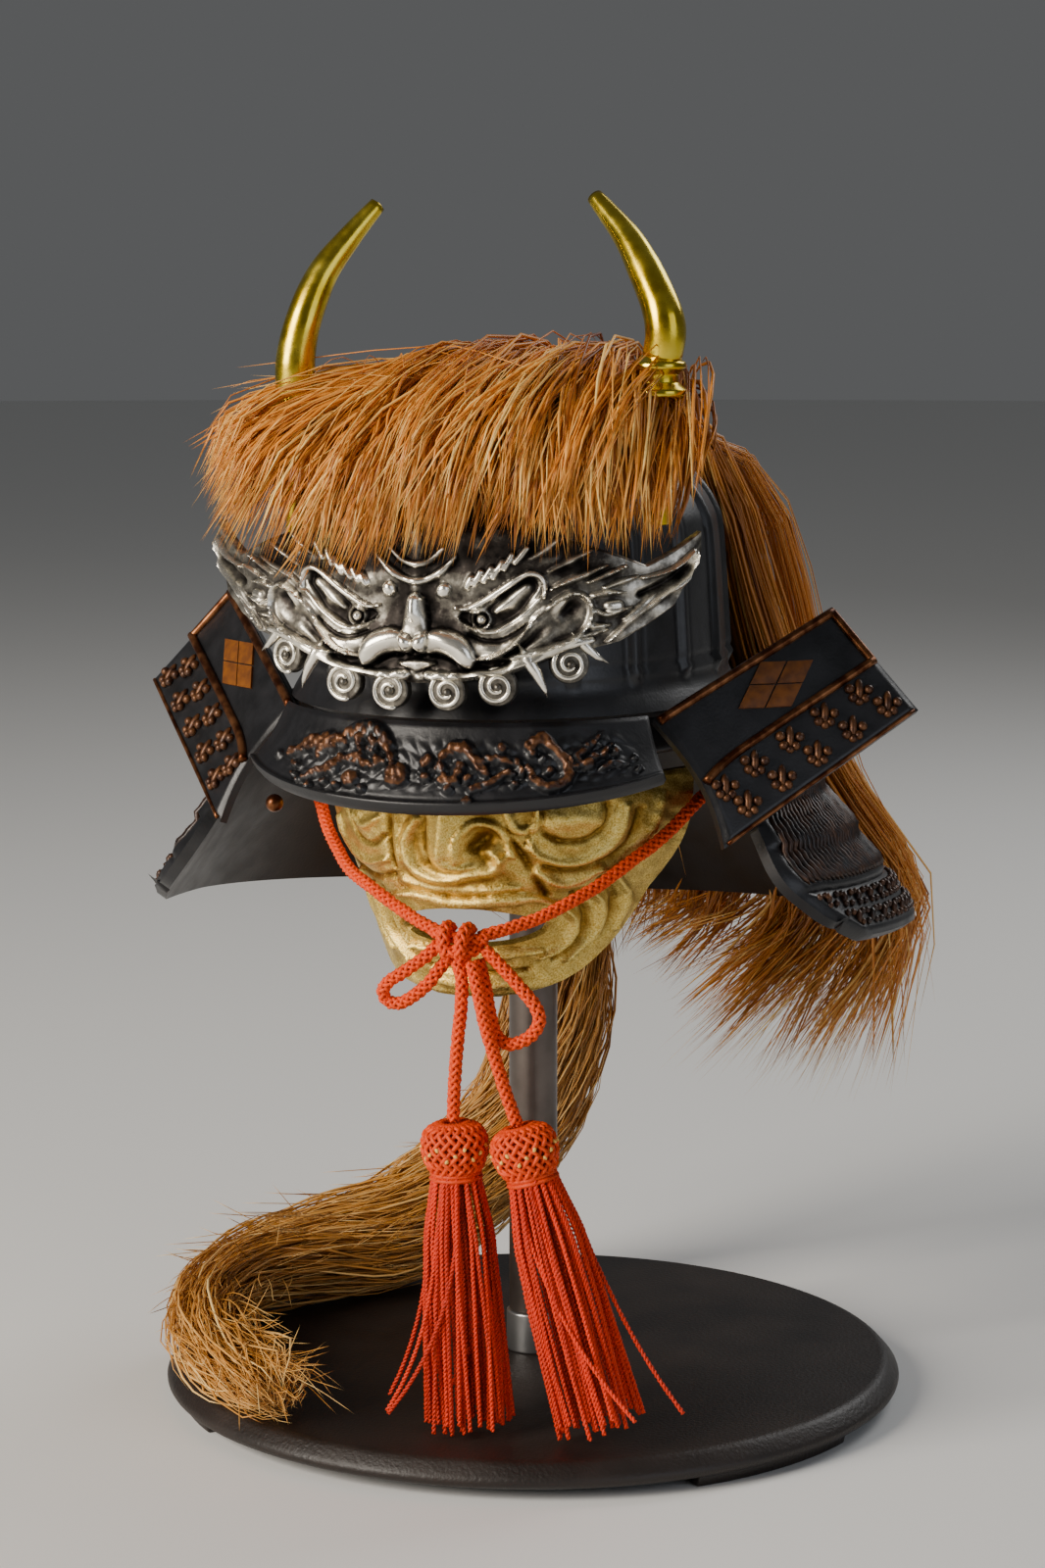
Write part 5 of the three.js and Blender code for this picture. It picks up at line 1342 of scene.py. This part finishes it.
def makeHorns():
    for side in ("left", "right"):
        horn = horns[side]
        profile = [(r, horn["top"] + z) for r, z in horns["stack"]]
        stack = turned("hornStack", profile, gilt, x=horn["x"], y=horns["y"], steps=64, corner=0.5)
        line = smoothLine(horn["path"], 40)
        radii = np.interp(np.linspace(0, 1, 40), np.linspace(0, 1, 7), horns["radii"])
        tip = line[-1] + (line[-1] - line[-2]) * 0.4
        blade = tubes("hornBlade", [(np.vstack([line, tip]), np.append(radii, 0), 0.5)], gilt, sides=28)
        dress(join(side + "Horn", [stack, blade]), "horn_" + side)
    print("horns are made")


hair = {
    "forelock": {"hairs": 2500, "each": 11, "steps": 8, "strays": 190},
    "mane": {"hairs": 2000, "each": 10, "steps": 12, "strays": 190},
    "tail": {"hairs": 2400, "steps": 11, "strays": 420},
    "fine": 0.17, "coarse": 0.34,       # half thickness
}


# One hair: a smooth line through points, thickest in its middle, with the tone it is given.
def strandOf(points, thick, tone, count=9):
    line = smoothLine(points, count, 6)
    taper = np.array([0.6, 1, 1, 1, 1, 1, 0.9, 0.7, 0.25])
    radii = thick * np.interp(np.linspace(0, 1, count), np.linspace(0, 1, 9), taper)
    return line, radii, np.clip(tone + np.linspace(-0.12, 0.16, count), 0, 1)


# Painted shade: a hair's tone is drawn at random, then darkened by 0.45 times its depth (0 on top or outside, 1
# underneath or at the core), in place of the shade inside the hair.
def toneWithDepthShade(rng, depth):
    return min(1, max(0, rng.gauss(0.52, 0.17) - 0.45 * depth))


# How low the hair over the brow hangs, from its left end to its right.
fringeLine = [(-66, 224), (-56, 215), (-44, 209), (-30, 205.5), (-18, 205.5), (-6, 209), (8, 212), (24, 212.5),
              (40, 211), (50, 211), (60, 216)]


# Locks of hair. path(rng) gives one lock's guide points, its half width and its depth; its hairs
# run beside the guide, drawn together at the tip and cut at uneven lengths.
def locks(rng, sort, path, loose=1.6):
    lines = []
    for _ in range(sort["hairs"] // sort["each"]):
        guide, wide, depth = path(rng)
        guide = smoothLine(guide, 14, 8)
        shade = rng.gauss(0, 0.12)
        for _ in range(sort["each"]):
            off = np.array([rng.gauss(0, 1), rng.gauss(0, 1), rng.gauss(0, 0.8)]) * wide
            t = np.linspace(0, 1, 14)[:, None]
            gather = 0.7 + 0.9 * np.sin(math.pi * t) * rng.uniform(0.5, 1.3) - 0.25 * t
            wave = np.array([rng.gauss(0, 0.5), rng.gauss(0, 0.4), rng.gauss(0, 0.5)]) \
                * np.sin(t * rng.uniform(5, 11))
            stop = 14 - (rng.randrange(3) if rng.random() < 0.6 else 0)
            start = rng.randrange(4) if rng.random() < 0.3 else 0
            frizz = np.array([rng.gauss(0, 1), rng.gauss(0, 1), rng.gauss(0, 0.7)]) * loose * t ** 3
            points = (guide + off * gather + wave + frizz)[start:stop]
            thick = rng.choice((hair["fine"], hair["fine"], hair["coarse"])) * (1 + 1.1 * depth)
            lines.append(strandOf(points, thick, min(1, max(0, toneWithDepthShade(rng, depth) + shade)), sort["steps"]))
    return lines


# The hair over the brow: laid over the crown from its right, long to the left and short to the
# right, and chopped off.
def forelock():
    rng = random.Random(21)

    def path(rng):
        t = min(1, max(0, rng.random() ** 0.92 + rng.gauss(0, 0.02)))
        depth = rng.random() ** 1.3            # 0 on top, 1 underneath
        x = mix(-64, 53, t) + rng.gauss(0, 2.2)
        y = -91 + 34 * abs((x + 2) / 60) ** 2.2 + depth * 6 + rng.gauss(0, 1.5)
        fringe = np.interp(x, *zip(*fringeLine)) + rng.gauss(0, 2.2)
        z = fringe + rng.random() ** 2 * 12 + 3 * (1 - depth)
        lift = (1 - depth) * 8 - 3
        root = mix(4, 33, t) + rng.gauss(0, 4)
        crest = 250 - 13 * abs((mix(root, x, 0.45) - 16) / 60) ** 1.3 + lift + rng.gauss(0, 1.6)
        sway = rng.gauss(0, 4.5)
        guide = [(root, -13 + rng.gauss(0, 3), 240 + lift * 0.6),
                 (mix(root, x, 0.42) + sway, mix(-16, y, 0.4), crest),
                 (mix(root, x, 0.86) + 0.6 * sway, mix(-16, y, 0.82), mix(crest, z, 0.52) + lift * 0.5 + 2),
                 (x, y, z)]
        return guide, 1.35, depth

    lines = locks(rng, hair["forelock"], path)
    for _ in range(hair["forelock"]["strays"]):
        x = rng.uniform(-66, 46)
        start = np.array([rng.uniform(-30, 34), rng.uniform(-40, -10), rng.uniform(243, 252)])
        end = np.array([x, -72 + 30 * abs(x / 60) ** 2 + rng.gauss(0, 7), rng.uniform(216, 250)])
        middle = mix(start, end, 0.5) + [rng.gauss(0, 5), rng.gauss(0, 3), rng.uniform(0, 6)]
        lines.append(strandOf([start, middle, end], 0.13, toneWithDepthShade(rng, 0), 8))
    return dress(tubes("forelockHair", lines, crestHair), "forelock")


maneGuides = [   # angle from the front, share outside the bowl, thickness, lower end's x, y and z
    (128, 1.14, 6.0, 72, 44, 73), (137, 1.16, 7.6, 48, 51, 69), (148, 1.2, 8, 30, 56, 76),
    (160, 1.2, 8, 14, 70, 86), (172, 1.2, 8, 1, 86, 96), (184, 1.2, 8, -11, 87, 92),
    (196, 1.2, 7.4, -22, 86, 94), (209, 1.17, 4, -33, 80, 108),
]


# The columns of the guides at a place between two of them, and the way straight out from there.
def maneAt(place):
    columns = [np.interp(place, range(len(maneGuides)), column) for column in zip(*maneGuides)]
    turn = math.radians(columns[0])
    return (*columns, np.array([math.sin(turn), -math.cos(turn), 0]))


# The long hair behind: over the crown, down past the neck guard and frayed below it.
def mane():
    rng = random.Random(31)

    def path(rng):
        angle, out, thick, x, y, z, beyond = maneAt(rng.random() * (len(maneGuides) - 1))
        depth = rng.random() ** 1.2
        grow = thick * ((1 - depth) * 1.6 - 1)          # outwards of the middle of the hair
        side = np.array([beyond[1], -beyond[0], 0]) * rng.gauss(0, 3.2)

        def past(v, gap):
            return guardPoint(angle, v) + beyond * (thick + gap + grow)

        end = np.array([x + rng.gauss(0, 5), y + rng.gauss(0, 4),
                        max(z + rng.gauss(0, 2) + rng.random() ** 1.6 * 20, 62)])
        bow = np.array([rng.gauss(0, 2.5), rng.gauss(0, 2), 0])
        guide = [bowlPoint(angle, 0.3, 240) + [0, 0, grow * 0.4],
                 bowlPoint(angle, out - 0.2, 232) + [0, 0, grow * 0.6],
                 bowlPoint(angle, out, 205) + beyond * grow * 0.7 + side * 0.5, past(0.1, 7) + side,
                 past(0.55, 6.1) + side + bow * 0.5, past(1, 5.6) + side + bow, end + side]
        return guide, 1.1, depth

    lines = locks(rng, hair["mane"], path, loose=2.6)
    for _ in range(hair["mane"]["strays"]):
        angle, out, thick, x, y, z, beyond = maneAt(rng.random() * 2.2)
        push = rng.uniform(3, 9)
        points = [bowlPoint(angle, 0.5, 239), bowlPoint(angle, out, 222) + beyond * push,
                  guardPoint(angle, 0.3) + beyond * (push + 14), guardPoint(angle, 1) + beyond * (push + 8),
                  (x + rng.gauss(0, 8), y + rng.gauss(0, 6), max(62, z + rng.uniform(-8, 20)))]
        lines.append(strandOf(points, 0.14, toneWithDepthShade(rng, 0), 12))
    return dress(tubes("maneHair", lines, crestHair), "mane")


tailRows = [   # x, y, z and radius, from under the neck guard to the curled end
    (-16, 85, 104, 8), (-19, 84.5, 92, 12), (-21, 80, 72, 14), (-26, 70, 50, 14), (-39, 57, 33, 14),
    (-52, 39, 23.5, 13.6), (-67, 21, 22, 12), (-77, 2, 20.5, 10.5), (-76, -22, 19.5, 9.5),
    (-67, -44, 19, 9), (-52, -62, 18, 8.5), (-38, -74, 17, 7), (-34, -81, 16, 3),
]


# The tail: it falls behind the post, lies on the stand and curls round to a fuzzy end.
def tail():
    rng = random.Random(41)
    rows = smoothLine(tailRows, 70)
    line, radius = rows[:, :3], rows[:, 3]
    across, up = sideways(line)
    lines = []
    for i in range(hair["tail"]["hairs"]):
        core = i % 9 == 0
        start = rng.random() ** 1.4 * 0.72 if i % 3 else 0
        span = rng.uniform(0.22, 0.5)
        t = np.linspace(start, min(1, start + span), hair["tail"]["steps"])
        place = t * (len(line) - 1)
        index = np.arange(len(line))
        share = math.sqrt(rng.random()) * (0.55 if core else 1.0)
        angle = rng.uniform(0, 2 * math.pi) + 3.4 * t + 0.25 * np.sin(9 * t + i)
        loose = 1 + 0.16 * np.sin(20 * t + i * 1.7) + (0.35 * rng.random() * smoothStep(0.7, 1, t))
        out = np.interp(place, index, radius) * share * loose
        points = np.stack([np.interp(place, index, line[:, k])
                           + out * np.cos(angle) * np.interp(place, index, across[:, k])
                           + out * np.sin(angle) * np.interp(place, index, up[:, k]) for k in range(3)], 1)
        if not core:
            curl = (0.5 + 1.6 * smoothStep(0.55, 1, t)) * rng.uniform(0.4, 1.3)
            phase = rng.uniform(0, 6.3) + rng.uniform(24, 46) * t
            points += np.stack([np.sin(phase), np.cos(phase * 1.1), np.sin(phase * 0.9 + 2)], 1) * curl[:, None]
        points[:, 2] = np.maximum(points[:, 2], 9.6 + (1 - share))
        thick = 1.3 if core else rng.choice((hair["fine"], hair["fine"], hair["coarse"]))
        # Painted shade: hairs nearer the tail's core, the thick core hairs among them, are darker.
        lines.append(strandOf(points, thick, toneWithDepthShade(rng, 1 - share), hair["tail"]["steps"]))
    for _ in range(hair["tail"]["strays"]):
        at = rng.randrange(8, len(line) - 2)
        out = np.array([rng.gauss(0, 1), rng.gauss(0, 1), abs(rng.gauss(0, 0.8))])
        out /= np.linalg.norm(out)
        along = line[min(at + 8, len(line) - 1)] - line[at]
        start = line[at] + out * radius[at] * 0.7
        middle = start + along * rng.uniform(0.3, 0.7) + out * rng.uniform(2, 6)
        end = middle + along * rng.uniform(0.2, 0.8) + out * rng.uniform(1, 7) + [0, 0, rng.gauss(0, 3)]
        points = np.array([start, middle, end])
        points[:, 2] = np.maximum(points[:, 2], 9.7)
        lines.append(strandOf(points, 0.12, toneWithDepthShade(rng, 0), 7))
    return dress(tubes("tailHair", lines, tailHair), "tail")


studio()
makeCords()
forelock()
mane()
tail()
print("hair is made")
makeStand()
makeHelmet()
makeCrest()
makeFace()
makeHorns()

bpy.context.view_layer.update()
added = sum(len(p.vertices) - 2 for o in scene.objects if o.type == "MESH" and o not in packed
            for p in o.data.polygons)
print("pieces are made:", added, "triangles in all")
